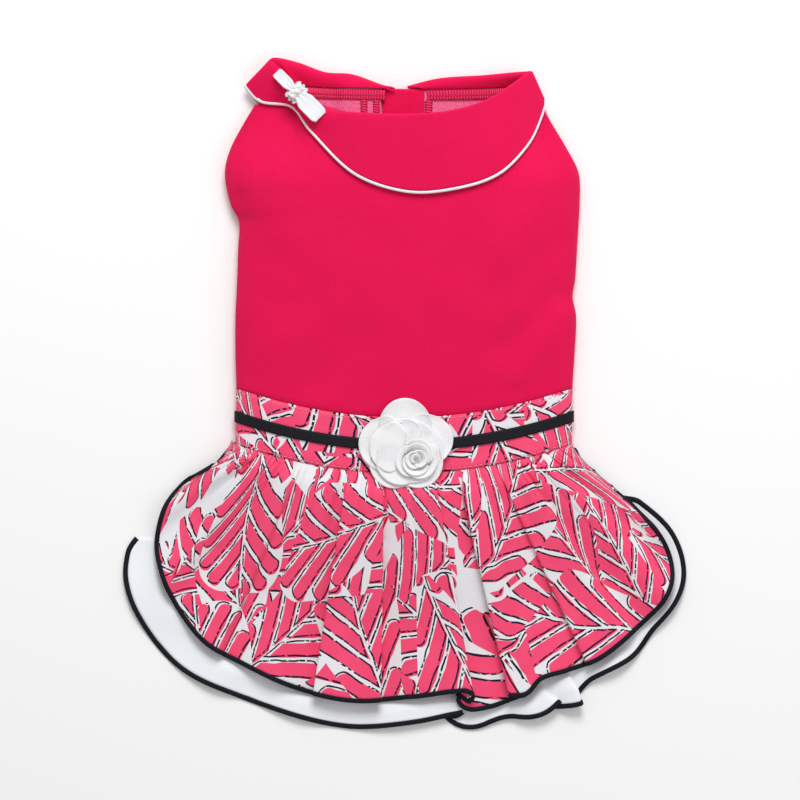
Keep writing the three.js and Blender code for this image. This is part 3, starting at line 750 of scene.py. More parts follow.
def brushed_knit(name, dark, light, rib=WALE_WIDTH, fuzz=4.0, depth=0.02):
    """Cotton interlock knit, dyed: dull, with a fine rib for each wale and a soft brushed bloom."""
    made, tree, shader = new_material(name, dark, 0.92, sheen_weight=0.08, sheen_roughness=0.5)
    shader.inputs["Sheen Tint"].default_value = srgb("ff7fb4")
    place = thread_bump(tree, shader, rib, 0, depth, fuzz)
    patches = add(tree, "ShaderNodeTexNoise", {"Vector": place, "Scale": 1 / (FADED_PATCH * MM),
                                               "Detail": 3.0}).outputs[0]
    parts = add(tree, "ShaderNodeSeparateXYZ", {0: place}).outputs
    stretched = add(tree, "ShaderNodeCombineXYZ", {
        0: parts[0],
        1: add(tree, "ShaderNodeMath", {0: parts[1], 1: 0.3}, operation="MULTIPLY").outputs[0],
    }).outputs[0]
    streaks = add(tree, "ShaderNodeTexNoise", {"Vector": stretched, "Scale": 1 / (STREAK_WIDTH * MM),
                                               "Detail": 1.0}).outputs[0]
    both = add(tree, "ShaderNodeMath", {0: patches, 1: streaks}, operation="ADD").outputs[0]
    shade = add(tree, "ShaderNodeMapRange", {0: both, 1: 0.6, 2: 1.4, 3: 0.0, 4: 1.0}).outputs[0]
    colour = add(tree, "ShaderNodeMix", {0: shade, 6: srgb(dark), 7: srgb(light)},
                 data_type="RGBA").outputs[2]
    tree.links.new(colour, shader.inputs["Base Color"])
    return made


def plain_weave(name, colour, roughness=0.7, pitch=1.2, depth=0.03, source="UV", **values):
    """Plainly woven cloth: two crossing sets of threads, as coarse as they need to show."""
    made, tree, shader = new_material(name, colour, roughness, **values)
    thread_bump(tree, shader, pitch, pitch, depth, 0.6, source)
    return made


# Leaf print, with its lengths in millimetres of flat cloth
LEAF_CELL = 92
LEAF_HALF = 58
LEAF_STAGGER = 4
LEAFLET_REACH = 44
LEAFLET_PITCH = 10.2
LEAFLET_GAP = 2.6
LEAFLET_SLANT = math.radians(36)
LEAFLET_BEND = 5.0
MIDRIB_WIDTH = 2.4
OUTLINE_WIDTH = 0.95
OUTLINE_SHIFT = (1.2, -0.9, 0)
LEAF_RIM = 1.8
LEAF_CLEARANCE = 1.0
EDGE_WOBBLE = 1.6
WOBBLE_LENGTH = 9
BREAK_LENGTH = 2.3
INK_PATCH = 14
HALF_LEAFLET = (LEAFLET_PITCH - LEAFLET_GAP) / 2

# The layers of leaves from the lowest up: size is a share of the usual leaf's.
LEAF_LAYERS = table(
    "seed size",
    (4, 0.7),
    (9, 0.9),
    (6, 1),
    (1, 1),
)


def leaflet_end(axis, name):
    """The steps to how far a place lies beyond the end of the leaflet that starts at axis."""
    return [
        (name + "_root", "DIVIDE", axis, math.sin(LEAFLET_SLANT)),
        (name + "_share", "DIVIDE", name + "_root", LEAF_HALF * MM),
        (name + "_square", "MULTIPLY", name + "_share", name + "_share"),
        (name + "_narrowing", "SUBTRACT", 1.0, name + "_square"),
        (name + "_reach", "MULTIPLY", name + "_narrowing", LEAFLET_REACH * MM),
        (name + "_past", "SUBTRACT", "up", name + "_root"),
        (name + "_rise", "MULTIPLY", name + "_past", math.cos(LEAFLET_SLANT)),
        (name + "_far", "ADD", "run", name + "_rise"),
        (name + "_beyond", "SUBTRACT", name + "_far", name + "_reach"),
    ]


# The steps from a leaf's own x (across) and y (along) to the distance from its leaflets' edges.
LEAFLET_STEPS = [
    ("way", "SIGN", "x"),
    ("aside", "ABSOLUTE", "x"),
    ("stagger", "MULTIPLY", "way", LEAF_STAGGER * MM),
    ("up", "ADD", "y", "stagger"),
    ("up_part", "MULTIPLY", "up", math.sin(LEAFLET_SLANT)),
    ("aside_part", "MULTIPLY", "aside", math.cos(LEAFLET_SLANT)),
    ("square", "MULTIPLY", "aside", "aside"),
    ("bend", "MULTIPLY", "square", LEAFLET_BEND),
    ("straight", "SUBTRACT", "up_part", "aside_part"),
    ("off", "ADD", "straight", "bend"),
    ("count", "DIVIDE", "off", LEAFLET_PITCH * MM),
    ("number", "ROUND", "count"),
    ("axis", "MULTIPLY", "number", LEAFLET_PITCH * MM),
    ("side", "SUBTRACT", "off", "axis"),
    ("run", "MULTIPLY", "aside", math.sin(LEAFLET_SLANT)),
    *leaflet_end("axis", "leaflet"),
    *leaflet_end("off", "leaf"),
    ("past", "MAXIMUM", "leaflet_beyond", 0.0),
    ("past_square", "MULTIPLY", "past", "past"),
    ("side_square", "MULTIPLY", "side", "side"),
    ("both", "ADD", "past_square", "side_square"),
    ("round", "SQRT", "both"),
    ("from_cap", "SUBTRACT", "round", HALF_LEAFLET * MM),
    ("in_rib", "SUBTRACT", MIDRIB_WIDTH / 2 * MM, "aside"),
    ("edge", "MAXIMUM", "from_cap", "in_rib"),
]


def work_out(tree, values, steps):
    """Takes values through steps, each of which names its result, its operation and its inputs."""
    for name, operation, *inputs in steps:
        links = {k: values.get(value, value) for k, value in enumerate(inputs)}
        values[name] = add(tree, "ShaderNodeMath", links, operation=operation).outputs[0]
    return values


def leaf_layer(tree, place, seed, cell):
    """One layer of feathered leaves on a jittered lattice, each turned its own way.

    Gives where the cloth is coral, where an outline runs, and where the layer covers the one below.
    """
    shifted = add(tree, "ShaderNodeVectorMath", {0: place, 1: (seed * 0.37, seed * 0.71, 0)},
                  operation="ADD").outputs[0]
    settings = {"Vector": shifted, "Scale": 1 / (cell * MM), "Randomness": 0.7}
    nearest = add(tree, "ShaderNodeTexVoronoi", settings, voronoi_dimensions="2D")
    border = add(tree, "ShaderNodeTexVoronoi", settings, voronoi_dimensions="2D",
                 feature="DISTANCE_TO_EDGE").outputs["Distance"]
    chance = add(tree, "ShaderNodeSeparateColor", {0: nearest.outputs["Color"]}).outputs
    from_centre = add(tree, "ShaderNodeVectorMath", {0: shifted, 1: nearest.outputs["Position"]},
                      operation="SUBTRACT").outputs[0]
    turn = add(tree, "ShaderNodeMath", {0: chance[0], 1: 2 * math.pi},
               operation="MULTIPLY").outputs[0]
    wobble = add(tree, "ShaderNodeTexNoise", {"Vector": place, "Scale": 1 / (WOBBLE_LENGTH * MM),
                                              "Detail": 1.0}).outputs[0]
    broken = add(tree, "ShaderNodeTexNoise", {"Vector": place, "Scale": 1 / (BREAK_LENGTH * MM),
                                              "Detail": 2.0}).outputs[0]
    edges = []
    for shift in ((0, 0, 0), OUTLINE_SHIFT):
        moved = add(tree, "ShaderNodeVectorMath", {0: from_centre, 1: Vector(shift) * MM},
                    operation="ADD").outputs[0]
        turned = add(tree, "ShaderNodeVectorRotate",
                     {"Vector": moved, "Axis": (0, 0, 1), "Angle": turn}).outputs[0]
        parts = add(tree, "ShaderNodeSeparateXYZ", {0: turned}).outputs
        edges.append(work_out(tree, {"x": parts[0], "y": parts[1]}, LEAFLET_STEPS))
    ink, outline = edges
    found = work_out(tree, {
        "edge": ink["edge"], "leaf": ink["leaf_beyond"], "outline": outline["edge"],
        "wobble": wobble, "broken": broken, "border": border,
    }, [
        ("edge_noise", "MULTIPLY", "wobble", EDGE_WOBBLE * MM),
        ("uneven", "SUBTRACT", "edge_noise", EDGE_WOBBLE / 2 * MM),
        ("fill_edge", "ADD", "edge", "uneven"),
        ("in_fill", "LESS_THAN", "fill_edge", 0.0),
        ("clear", "GREATER_THAN", "border", LEAF_CLEARANCE / cell),
        ("near", "LESS_THAN", "leaf", (HALF_LEAFLET + LEAF_RIM) * MM),
        ("outline_edge", "SUBTRACT", "outline", "uneven"),
        ("off_outline", "ABSOLUTE", "outline_edge"),
        ("thin", "LESS_THAN", "off_outline", OUTLINE_WIDTH / 2 * MM),
        ("whole", "GREATER_THAN", "broken", 0.4),
        ("covers", "MULTIPLY", "near", "clear"),
        ("coral", "MULTIPLY", "in_fill", "covers"),
        ("line_part", "MULTIPLY", "thin", "covers"),
        ("line", "MULTIPLY", "line_part", "whole"),
    ])
    return found["coral"], found["line"], found["covers"]


def leaf_print(name):
    """Screen-printed cotton: feathered coral leaves with loose navy outlines, overlapping."""
    made, tree, shader = new_material(name, "fb5079", 0.8, sheen_weight=0.08)
    place = thread_bump(tree, shader, 0.9, 0.9, 0.02, 1.2)
    white, navy = srgb("e9e8ec"), srgb("10132a")
    grain = add(tree, "ShaderNodeTexNoise", {"Vector": place, "Scale": 1 / (INK_PATCH * MM),
                                             "Detail": 4.0}).outputs[0]
    ink = add(tree, "ShaderNodeMix", {0: grain, 6: srgb("f23f6b"), 7: srgb("fd5680")},
              data_type="RGBA").outputs[2]
    colour = white
    for layer in LEAF_LAYERS:
        cell = LEAF_CELL * layer["size"]
        is_coral, is_line, covers = leaf_layer(tree, place, layer["seed"], cell)
        leaf = add(tree, "ShaderNodeMix", {0: is_coral, 6: white, 7: ink},
                   data_type="RGBA").outputs[2]
        drawn = add(tree, "ShaderNodeMix", {0: is_line, 6: leaf, 7: navy},
                    data_type="RGBA").outputs[2]
        colour = add(tree, "ShaderNodeMix", {0: covers, 6: colour, 7: drawn},
                     data_type="RGBA").outputs[2]
    tree.links.new(colour, shader.inputs["Base Color"])
    return made


def ribbon_satin(name, colour, roughness=0.32):
    """Polyester satin ribbon: long floating threads, so a bright, streaked gloss."""
    made, tree, shader = new_material(name, colour, roughness, sheen_weight=0.15)
    shader.inputs["Specular IOR Level"].default_value = 0.6
    thread_bump(tree, shader, 0.0, 0.5, 0.012, 0.5)
    return made


def petal_cloth(name):
    """Stiffened white cotton: matt, faintly fuzzy, with painted creamy shade towards each petal's
    root, where petals sit deep.
    """
    made, tree, shader = new_material(name, "f6f5f7", 0.9, sheen_weight=0.15)
    shader.inputs["Subsurface Weight"].default_value = 0.12
    shader.inputs["Subsurface Radius"].default_value = (1, 1, 1)
    shader.inputs["Subsurface Scale"].default_value = 3 * MM
    place = thread_bump(tree, shader, 0.8, 0.8, 0.03, 1.5)
    # The creamy tint near each petal's root is painted shade, where the petals sit deep in the flower.
    depth = add(tree, "ShaderNodeSeparateXYZ", {0: place}).outputs[1]
    painted_shade_fade = add(tree, "ShaderNodeMapRange",
               {0: depth, 1: 0.0, 2: PAINTED_SHADE_REACH * MM, 3: 0.0, 4: 1.0}).outputs[0]
    colour = add(tree, "ShaderNodeMix", {0: painted_shade_fade, 6: srgb("f1efdc"), 7: srgb("f6f5f7")},
                 data_type="RGBA").outputs[2]
    tree.links.new(colour, shader.inputs["Base Color"])
    return made


def pearl_coat(name):
    """Plastic pearl: glossy, with a milky coat."""
    made, _, shader = new_material(name, "f5f1ea", 0.2, coat_weight=0.6, coat_roughness=0.1)
    shader.inputs["Subsurface Weight"].default_value = 0.2
    shader.inputs["Subsurface Scale"].default_value = 1 * MM
    return made


# Bodice

def half_width(side, y):
    """How wide the bodice is from its middle to its left (below zero) or right side."""
    which = "left" if side < 0 else "right"
    return HALF_CHEST * column(BODICE_OUTLINE, "up", which, y / BODICE_LENGTH)


def across_share(x, y):
    return clamp(x / half_width(x, y), -1, 1)


def neck_share(x):
    return (x - NECK_SHIFT) / HALF_NECK


def waist_seam(x):
    return WAIST_DIP * (x / HALF_CHEST) ** 2


def waistband_edge(x):
    return waist_seam(x) - WAISTBAND_HEIGHT


def top_line(x, dip):
    """The shoulder line and, between the neck's sides, the neckline with its own dip."""
    share = neck_share(x)
    if abs(share) < 1:
        return NECK_TOP - dip * dome(share, 2)
    corner = math.copysign(half_width(x, NECK_TOP), x)
    side = NECK_SHIFT + math.copysign(HALF_NECK, share)
    drop = clamp((x - side) / (corner - side), 0, 1)
    return mix(NECK_TOP, BODICE_LENGTH - SIDE_HEIGHT / 2, drop)


def back_top(x, y):
    """Height of the bodice's upper face, without its creases."""
    share = across_share(x, y)
    chest = mix(WAIST_RISE, CHEST_RISE, ease(y, -WAISTBAND_HEIGHT, BODICE_LENGTH * CHEST_SHARE))
    mouth = KNIT_WALL + NECK_RISE * dome(clamp(neck_share(x), -1, 1), NECK_FULLNESS)
    shoulder = ease(y, BODICE_LENGTH * SHOULDER_SHARE, top_line(x, BACK_NECK_DIP))
    return SIDE_HEIGHT + mix(chest, mouth, shoulder) * dome(share, BACK_FULLNESS)


def crease(x, y):
    """The bodice's soft dents, fading out at its seams."""
    total = waves(BODICE_WAVES, x, y)
    here = Vector((x, y))
    for fold in BODICE_CREASES:
        start, end = Vector(fold["start"]), Vector(fold["end"])
        run = end - start
        t = clamp((here - start).dot(run) / run.length_squared, 0, 1)
        near = (here - start.lerp(end, t)).length / fold["width"]
        total += fold["height"] * hump(near)
    return total * ease(y - waist_seam(x), 0, 14)


def belly_bottom(x, y):
    """Height of the bodice's under face: flat, rolling up to the side seam and at the neck."""
    share = abs(across_share(x, y))
    flat = 1 - SIDE_ROLL / half_width(x, y)
    roll = clamp((share - flat) / (1 - flat), 0, 1)
    side = (SIDE_HEIGHT - SEAM_GAP) * (1 - math.sqrt(1 - roll * roll))
    lifted = ease(y, *(BODICE_LENGTH * part for part in BELLY_LIFT_SHARES))
    shoulder_line = top_line(x, BELLY_NECK_DIP)
    outside = ease(abs(neck_share(x)), 0.9, 1.02)
    shoulder = (SIDE_HEIGHT - SEAM_GAP - KNIT_WALL) * outside
    shoulder *= ease(y, shoulder_line - SIDE_ROLL, shoulder_line)
    return max(side, (KNIT_WALL + 4 * SEAM_GAP) * lifted, shoulder)


def bodice_place(share, rise, dip, waist):
    """A place on the bodice seen from above, rise of the way from a waist line to the top line."""
    side = -1 if share < 0 else 1
    top = top_line(share * half_width(side, NECK_TOP), dip)
    bottom = waist(share * half_width(side, 0))
    y = mix(bottom, top, rise)
    return share * half_width(side, y), y


def back_surface(u, v):
    share = -math.cos(math.pi * u)
    x, y = bodice_place(share, v, BACK_NECK_DIP, waist_seam)
    height = back_top(x, y) - KNIT_WALL / 2 * dome(share, BACK_FULLNESS)
    narrower = 1 - KNIT_WALL / 2 / half_width(share, y)
    seam_dip = SEAM_DIP * hump((y - waist_seam(x)) / SEAM_SOFTNESS)
    inside = dome(share, 8)
    return Vector((x * narrower, y, height + (crease(x, y) - seam_dip) * inside))


def make_back():
    back = cloth("back_cloth", 150, 130, back_surface, (235, 178), KNIT_WALL,
                 start=(-117.5, 0), inside=1)
    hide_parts("back_panel")
    return back


def flap_step(x, side):
    """How far the left belly half rises over the closure and the right half."""
    if side > 0:
        return 0
    step = KNIT_WALL + TAPE_WALL + 2 * SEAM_GAP
    inner = OVERLAP_EDGE - OVERLAP_WIDTH
    return step * ease(x, inner - FLAP_SLOPE, inner)


def leg_hole_share(x, y, side):
    """1 on the edge of a leg hole, and less inside it."""
    across = (x - side * LEG_HOLE_OUT) / (LEG_HOLE_WIDTH / 2)
    along = (y - LEG_HOLE_UP) / (LEG_HOLE_LENGTH / 2)
    return math.hypot(across, along)


def belly_surface(side, edge):
    def surface(u, v):
        reach = math.sin(math.pi / 2 * u) if u > 0 else 0
        corner = side * half_width(side, NECK_TOP)
        top = top_line(mix(edge, corner, reach), BELLY_NECK_DIP)
        bottom = waistband_edge(mix(edge, side * half_width(side, 0), reach))
        y = mix(bottom, top, v)
        x = mix(edge, side * half_width(side, y), reach)
        share = abs(across_share(x, y))
        roll = ease(share, 1 - SIDE_ROLL / half_width(side, y), 1)
        narrower = 1 - roll * KNIT_WALL / 2 / half_width(side, y)
        height = belly_bottom(x, y) + flap_step(x, side) + KNIT_WALL / 2
        ripple = 0.25 * (1 + waver(x, y, 22, 5.3)) * ease(v, 0.6, 0.9)
        return Vector((x * narrower, y, height + ripple))
    return surface


def make_belly(side, edge, name, node):
    surface = belly_surface(side, edge)

    def flat_place(u, v):
        here = surface(u, v)
        return (here.x, here.y)

    belly = cloth(name, 60, 110, surface, flat_place, KNIT_WALL,
                  keep=lambda p: leg_hole_share(p.x, p.y, side) > 1, inside=1)
    for vertex in belly.data.vertices:
        x, y = vertex.co.x / MM, vertex.co.y / MM
        near = leg_hole_share(x, y, side)
        if 0.8 < near < 1.06:
            vertex.co.x = (side * LEG_HOLE_OUT + (x - side * LEG_HOLE_OUT) / near) * MM
            vertex.co.y = (LEG_HOLE_UP + (y - LEG_HOLE_UP) / near) * MM
    select_only(belly)
    bpy.ops.object.mode_set(mode="EDIT")
    bpy.ops.mesh.select_all(action="SELECT")
    bpy.ops.mesh.delete_loose()
    bpy.ops.object.mode_set(mode="OBJECT")
    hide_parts(node)
    return belly


def make_leg_binding(side, name):
    """The turned and stitched edge of a leg hole."""
    path, outs = [], []
    steps = 72
    for k in range(steps):
        angle = 2 * math.pi * k / steps
        x = side * LEG_HOLE_OUT + math.cos(angle) * (LEG_HOLE_WIDTH / 2 + 0.5)
        y = LEG_HOLE_UP + math.sin(angle) * (LEG_HOLE_LENGTH / 2 + 0.5)
        z = belly_bottom(x, y) + KNIT_WALL / 2 + 0.25
        path.append(Vector((x, y, z + 0.08 * waver(x, y, 6))))
        outs.append(Vector((math.cos(angle), math.sin(angle), 0)))
    return sweep(name, path, outs, LEG_BINDING_WIDTH, LEG_BINDING_HEIGHT, sides=10, closed=True)


def make_placket():
    """The facing seen through the neck: smooth knit from the closure to its overlocked edge."""
    def surface(u, v):
        x = mix(OVERLAP_EDGE + 0.8, PLACKET_RIGHT, u)
        y = mix(PLACKET_BOTTOM, top_line(x, BELLY_NECK_DIP) - 0.4, v)
        fold = 0.35 * hump((x - PLACKET_FOLD) / 0.9)
        return Vector((x, y, belly_bottom(x, y) + KNIT_WALL + 0.75 + fold))

    placket = cloth("placket_facing", 40, 40, surface, (24, 60), FACING_WALL)
    return placket


# Collar

def neck_seam(turn):
    """A place on the seam between collar and neckline, turn degrees round from the back."""
    to_back = math.cos(math.radians(turn))
    x = NECK_SHIFT + HALF_NECK * math.sin(math.radians(turn))
    y = NECK_TOP - (BELLY_NECK_DIP if to_back < 0 else BACK_NECK_DIP) * abs(to_back)
    low = belly_bottom(x, y) + flap_step(x, turn) + KNIT_WALL
    high = back_top(x, min(y, top_line(x, BACK_NECK_DIP)))
    return Vector((x, y, mix(low, high, ease(to_back, -0.3, 0)) + 3 * SEAM_GAP))


def collar_table(turn, name_x, name_y):
    """A place seen from above that two of the collar's columns give."""
    x = NECK_SHIFT + HALF_NECK * column(COLLAR_SECTIONS, "turn", name_x, turn)
    y = NECK_TOP + COLLAR_FALL * column(COLLAR_SECTIONS, "turn", name_y, turn)
    return Vector((x, y, 0))


def collar_bed(x, y, turn):
    """The lowest that the collar's middle may lie, on the floor or on the bodice."""
    on_back = ease(math.cos(math.radians(turn)), -0.15, 0)
    inside = ease(half_width(x, y) - abs(x), -5, 1) * ease(top_line(x, BACK_NECK_DIP) + 3 - y, -2, 2)
    bed = (back_top(x, y) + max(crease(x, y), 0) + COLLAR_LIFT) * inside
    return bed * on_back + KNIT_WALL / 2


def collar_point(turn, down):
    """A place on the collar, which stands up from the neck seam to its fold and falls to its edge."""
    seam = neck_seam(turn)
    fold = collar_table(turn, "fold_x", "fold_y")
    edge = collar_table(turn, "edge_x", "edge_y")
    back = (1 + math.cos(math.radians(turn))) / 2
    over = ease(back, 0.38, 0.5)
    under = 1 - over
    fold.z = mix(2 * KNIT_WALL, COLLAR_HEIGHT, back ** 2)
    edge.z = max(collar_bed(edge.x, edge.y, turn), (SIDE_HEIGHT + KNIT_WALL) * over)
    rise, outward = fold - seam, edge - fold
    roll = Vector((outward.x, outward.y, 0)).normalized() * (COLLAR_HEIGHT * 0.3)
    roll = roll.lerp(Vector((0, 0, -3.5 * fold.z)), under)
    if down < STAND_SHARE:
        leave = rise + Vector((0, 0, COLLAR_HEIGHT * 0.2))
        return hermite(seam, leave, fold, roll, down / STAND_SHARE)
    arrive = outward * (1 + under)
    arrive.z *= 1 - under
    fallen = (down - STAND_SHARE) / (1 - STAND_SHARE)
    place = hermite(fold, roll, edge, arrive, fallen)
    place.z = max(place.z, collar_bed(place.x, place.y, turn))
    return place


def collar_surface(u, v):
    turn = mix(-THROAT_TURN, THROAT_TURN, u)
    place = collar_point(turn, v)
    back = ease(math.cos(math.radians(turn)), 0.0, 0.4)
    soft = waves(COLLAR_WAVES, place.x, place.y)
    place.z += max(soft, -0.2) * back * ease(v, STAND_SHARE, 0.55) * ease(1 - v, 0, 0.2)
    return place


def make_collar():
    collar = cloth("collar_cloth", 300, 48, collar_surface, (430, 62), KNIT_WALL)
    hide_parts("collar")
    return collar


def make_piping():
    path, outs = [], []
    steps = 300
    for k in range(steps + 1):
        turn = mix(-THROAT_TURN, THROAT_TURN, k / steps)
        end, before = collar_point(turn, 1), collar_point(turn, 0.94)
        out = (end - before).normalized()
        place = end + out * (PIPING_DIAMETER * 0.45)
        bed = collar_bed(place.x, place.y, turn) + (PIPING_DIAMETER - KNIT_WALL) / 2
        place.z = max(place.z, bed)
        path.append(place)
        outs.append(out)
    piping = sweep("satin_piping", path, outs, PIPING_WIDTH, PIPING_DIAMETER)
    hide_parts("collar_piping")
    return piping


def neck_binding_surface(side):
    first_turn = THROAT_TURN if side > 0 else LEFT_BINDING_TURN

    def surface(u, v):
        turn = side * mix(first_turn, LAST_BINDING_TURN, u)
        seam = neck_seam(turn)
        y = seam.y - KNIT_WALL / 2 - SEAM_GAP - NECK_BINDING_WIDTH * v
        under = belly_bottom(seam.x, y) + flap_step(seam.x, side) + KNIT_WALL
        swell = 0.35 * math.sin(math.pi * v)
        return Vector((seam.x, y, under + 0.75 + swell))
    return surface


def make_neck_binding(side, name, node):
    surface = neck_binding_surface(side)
    binding = cloth(name, 60, 6, surface, (56, NECK_BINDING_WIDTH), NECK_BINDING_WALL)
    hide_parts(node)
    return binding


def facing_edge(side, left, right):
    """A narrow strip down the inside of the belly, from the neck seam towards the waist."""
    def surface(u, v):
        x = mix(left, right, v)
        y = top_line(x, BELLY_NECK_DIP) - KNIT_WALL - NECK_BINDING_WIDTH - FACING_LENGTH * u
        height = belly_bottom(x, y) + flap_step(x, side) + KNIT_WALL + 0.5
        return Vector((x, y, height + 0.9 * math.sin(math.pi * v)))
    return surface


def overlock(name, surface, count, start_share=0.02, end_share=0.96):
    """Overlocking thread: short slanted stitches side by side across a strip."""
    points, faces, uvs = [], [], []
    rise = Vector((0, 0, OVERLOCK_HEIGHT / 4))
    for n in range(count):
        u = (n + 0.5) / count
        start, end = surface(u - 0.2 / count, start_share), surface(u + 0.2 / count, end_share)
        middle = surface(u, (start_share + end_share) / 2) + 3 * rise
        start.z += 0.4
        end.z += 0.4
        path = [start, start.lerp(middle, 0.5) + rise, middle, middle.lerp(end, 0.5) + rise, end]
        outs = [(end - start).cross(rise).normalized()] * len(path)
        loop_points, loop_faces, loop_uvs = strip(path, outs, OVERLOCK_WIDTH, OVERLOCK_HEIGHT,
                                                  THREAD_SIDES)
        faces += [[k + len(points) for k in face] for face in loop_faces]
        points += loop_points
        uvs += loop_uvs
    made = mesh_piece(name, points, faces, uvs)
    point_outwards(made)
    return made


# Waistband

def band_surface(start, end, lift, side_dip=0):
    """A band laid on the bodice's upper face, from one distance below the waist seam to another.

    side_dip is how deep its two seams sink in, and its rows of stitching half as deep.
    """
    def surface(u, v):
        share = -math.cos(math.pi * u)
        x = share * half_width(share, 0)
        y = waist_seam(x) - mix(start, end, v)
        wider = 1 + lift / half_width(share, y)
        height = back_top(x, y) + lift * dome(share, BACK_FULLNESS)
        far = mix(start, end, v)
        swell = side_dip / 2 * waver(x, y, 15, 9.1) * dome(share, 8)
        edge = min(far - start, end - far)
        dips = side_dip * (hump(edge) + 0.5 * hump((edge - TOPSTITCH_INSET) / 0.6))
        return Vector((x * wider, y, height + swell - dips * dome(share, 8)))
    return surface


def make_waistband():
    surface = band_surface(SEAM_GAP, WAISTBAND_HEIGHT, -BAND_WALL / 2, 0.7)
    band = cloth("waistband_cloth", 240, 48, surface, (222, -32), BAND_WALL, start=(35, 300))
    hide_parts("waistband")
    return band


def make_waist_ribbon():
    middle = WAISTBAND_HEIGHT / 2
    surface = band_surface(middle - RIBBON_WIDTH / 2, middle + RIBBON_WIDTH / 2, SEAM_GAP + 0.4)
    ribbon = cloth("waist_ribbon_cloth", 200, 6, surface, (225, RIBBON_WIDTH), RIBBON_WALL)
    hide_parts("waist_ribbon")
    return ribbon


def make_topstitching(name, below_seam):
    surface = band_surface(below_seam, below_seam + 1, 0.1)
    steps, step = 160, 0.004
    path, outs, ups = [], [], []
    for k in range(6, steps - 5):
        u = k / steps
        along = surface(u + step, 0) - surface(u - step, 0)
        up = (surface(u, 1) - surface(u, 0)).cross(along)
        path.append(surface(u, 0))
        outs.append(up.cross(Vector((1, 0, 0))))
        ups.append(up if up.z >= 0 else -up)
    return stitches(name, path, outs, ups)


# Skirts

def hem_corner(row):
    x = SKIRT_SHIFT + row["across"] * SKIRT_WIDTH / 2
    return Vector((x, -WAISTBAND_HEIGHT - row["down"] * SKIRT_LENGTH, 0))


HEM = Route([hem_corner(row) for row in HEM_OUTLINE])


def waist_share(share):
    """Where a share of the hem comes to at the waist, which bunches towards its two ends."""
    return share + WAIST_BUNCHING * math.sin(2 * math.pi * (share - 0.5))


def skirt_top(share):
    """The place on the waist seam that a share of the hem hangs from."""
    across = 2 * waist_share(share) - 1
    x = across * half_width(across, -WAISTBAND_HEIGHT)
    y = waistband_edge(x)
    return Vector((x, y - SEAM_GAP, back_top(x, y)))


def hem_outward(share):
    """The level direction straight out from the hem."""
    along = HEM.along(share)
    return Vector((along.y, -along.x, 0))


def fold_at(folds, share):
    """How high, how far along the hem and how far out a fold stands at a share of the hem."""
    row = 0
    while row < len(folds) - 2 and folds[row + 1]["at"] < share:
        row += 1
    start, end = folds[row], folds[row + 1]
    t = ease(share, start["at"], end["at"])
    return [mix(start[name], end[name], t) for name in ("height", "lean", "out")]


def pleats(share, count, drift, changes, seed):
    """Rounded pleats from 0 to 1, count of them along the waist, with spacing that drifts."""
    wander = drift * noise.noise(Vector((share * changes, 0, seed)))
    return abs(math.sin(math.pi * (share * count + wander))) ** 0.8


def gathers(share, down):
    """Small pleats at the waist seam that open out towards the hem."""
    fine = pleats(share, FINE_GATHERS, 0.8, 21, 4.4) * hump(down / 0.17)
    wide = pleats(share, WIDE_GATHERS, 0.9, 9, 8.2) * hump(down / 0.5)
    uneven = 0.75 + 0.5 * noise.noise(Vector((share * 15, down * 2, 1.9)))
    return (1.9 * fine + 2.6 * wide * ease(down, 0, 0.1)) * uneven


def skirt_point(share, down, beyond):
    """A point of the skirt without its folds, or of the underskirt beyond its hem."""
    top = skirt_top(share)
    hem = HEM.at(share)
    place = Vector((top.x, top.y, 0)).lerp(hem, down)
    place += hem_outward(share) * beyond
    seam_fall = top.z * (1 - down) ** 1.5
    puff = GATHER_PUFF * math.sin(math.pi * min(1, down * 1.3) ** 0.6)
    lifted = mix(HEM_TUCK, LAYER_GAP, ease(share, 0, UNDERSKIRT_START))
    place.z = max(seam_fall, PRINT_WALL / 2 + 0.1 + lifted) + puff * open_end(share, 0.06)
    return place


def open_end(share, reach):
    """Fades folds out at the two ends of a skirt."""
    return ease(share, 0, reach) * ease(1 - share, 0, reach)


def skirt_surface(share, v):
    place = skirt_point(share, v, 0)
    height, lean, out = fold_at(SKIRT_FOLDS, share)
    opening = 0.4 * ease(v, 0, 0.12) + 0.6 * v ** 0.8
    place += HEM.along(share) * (lean * opening) + hem_outward(share) * (out * v ** 3)
    ends = open_end(share, 0.03)
    place.z += (FOLD_HEIGHT * height * opening + gathers(share, v)) * ends
    place.z -= SEAM_DIP * hump(v / 0.02) * ends
    place.z += 0.5 * waver(place.x, place.y, 17, 6.6) * ease(v, 0.2, 0.6) * ends
    return place


def make_skirt():
    def flat_place(u, v):
        """The print runs on round the skirt, and closer together where it is gathered."""
        top, hem = skirt_top(u), HEM.at(u)
        fall = Vector((hem.x - top.x, hem.y - top.y)).length
        across = mix(0.66 * waist_share(u) + 0.17, u, v ** 0.7)
        return (SKIRT_FLAT_WIDTH * (across - 0.5), -v * fall)

    skirt = cloth("skirt_cloth", 520, 84, skirt_surface, flat_place, PRINT_WALL)
    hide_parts("skirt")
    return skirt


def underskirt_surface(share, down):
    reach = UNDERSKIRT_REACH * column(UNDERSKIRT_SHOW, "at", "reach", share)
    inside = min(down / UNDERSKIRT_COVERED, 1)
    beyond = max(0, (down - UNDERSKIRT_COVERED) / (1 - UNDERSKIRT_COVERED)) * reach
    place = skirt_point(share, inside, beyond)
    height, lean, out = fold_at(UNDERSKIRT_FOLDS, share)
    opening = ease(beyond, 0, 9)
    place += HEM.along(share) * (lean * opening) + hem_outward(share) * (out * opening)
    place.z += FOLD_HEIGHT * height * opening - LAYER_GAP
    place.z = max(place.z, LINING_WALL / 2 + 0.1)
    return place


def make_underskirt():
    def surface(u, v):
        return underskirt_surface(mix(UNDERSKIRT_START, UNDERSKIRT_END, u), v)

    underskirt = cloth("underskirt_cloth", 380, 70, surface, (480, 130), LINING_WALL)
    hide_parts("underskirt")
    return underskirt


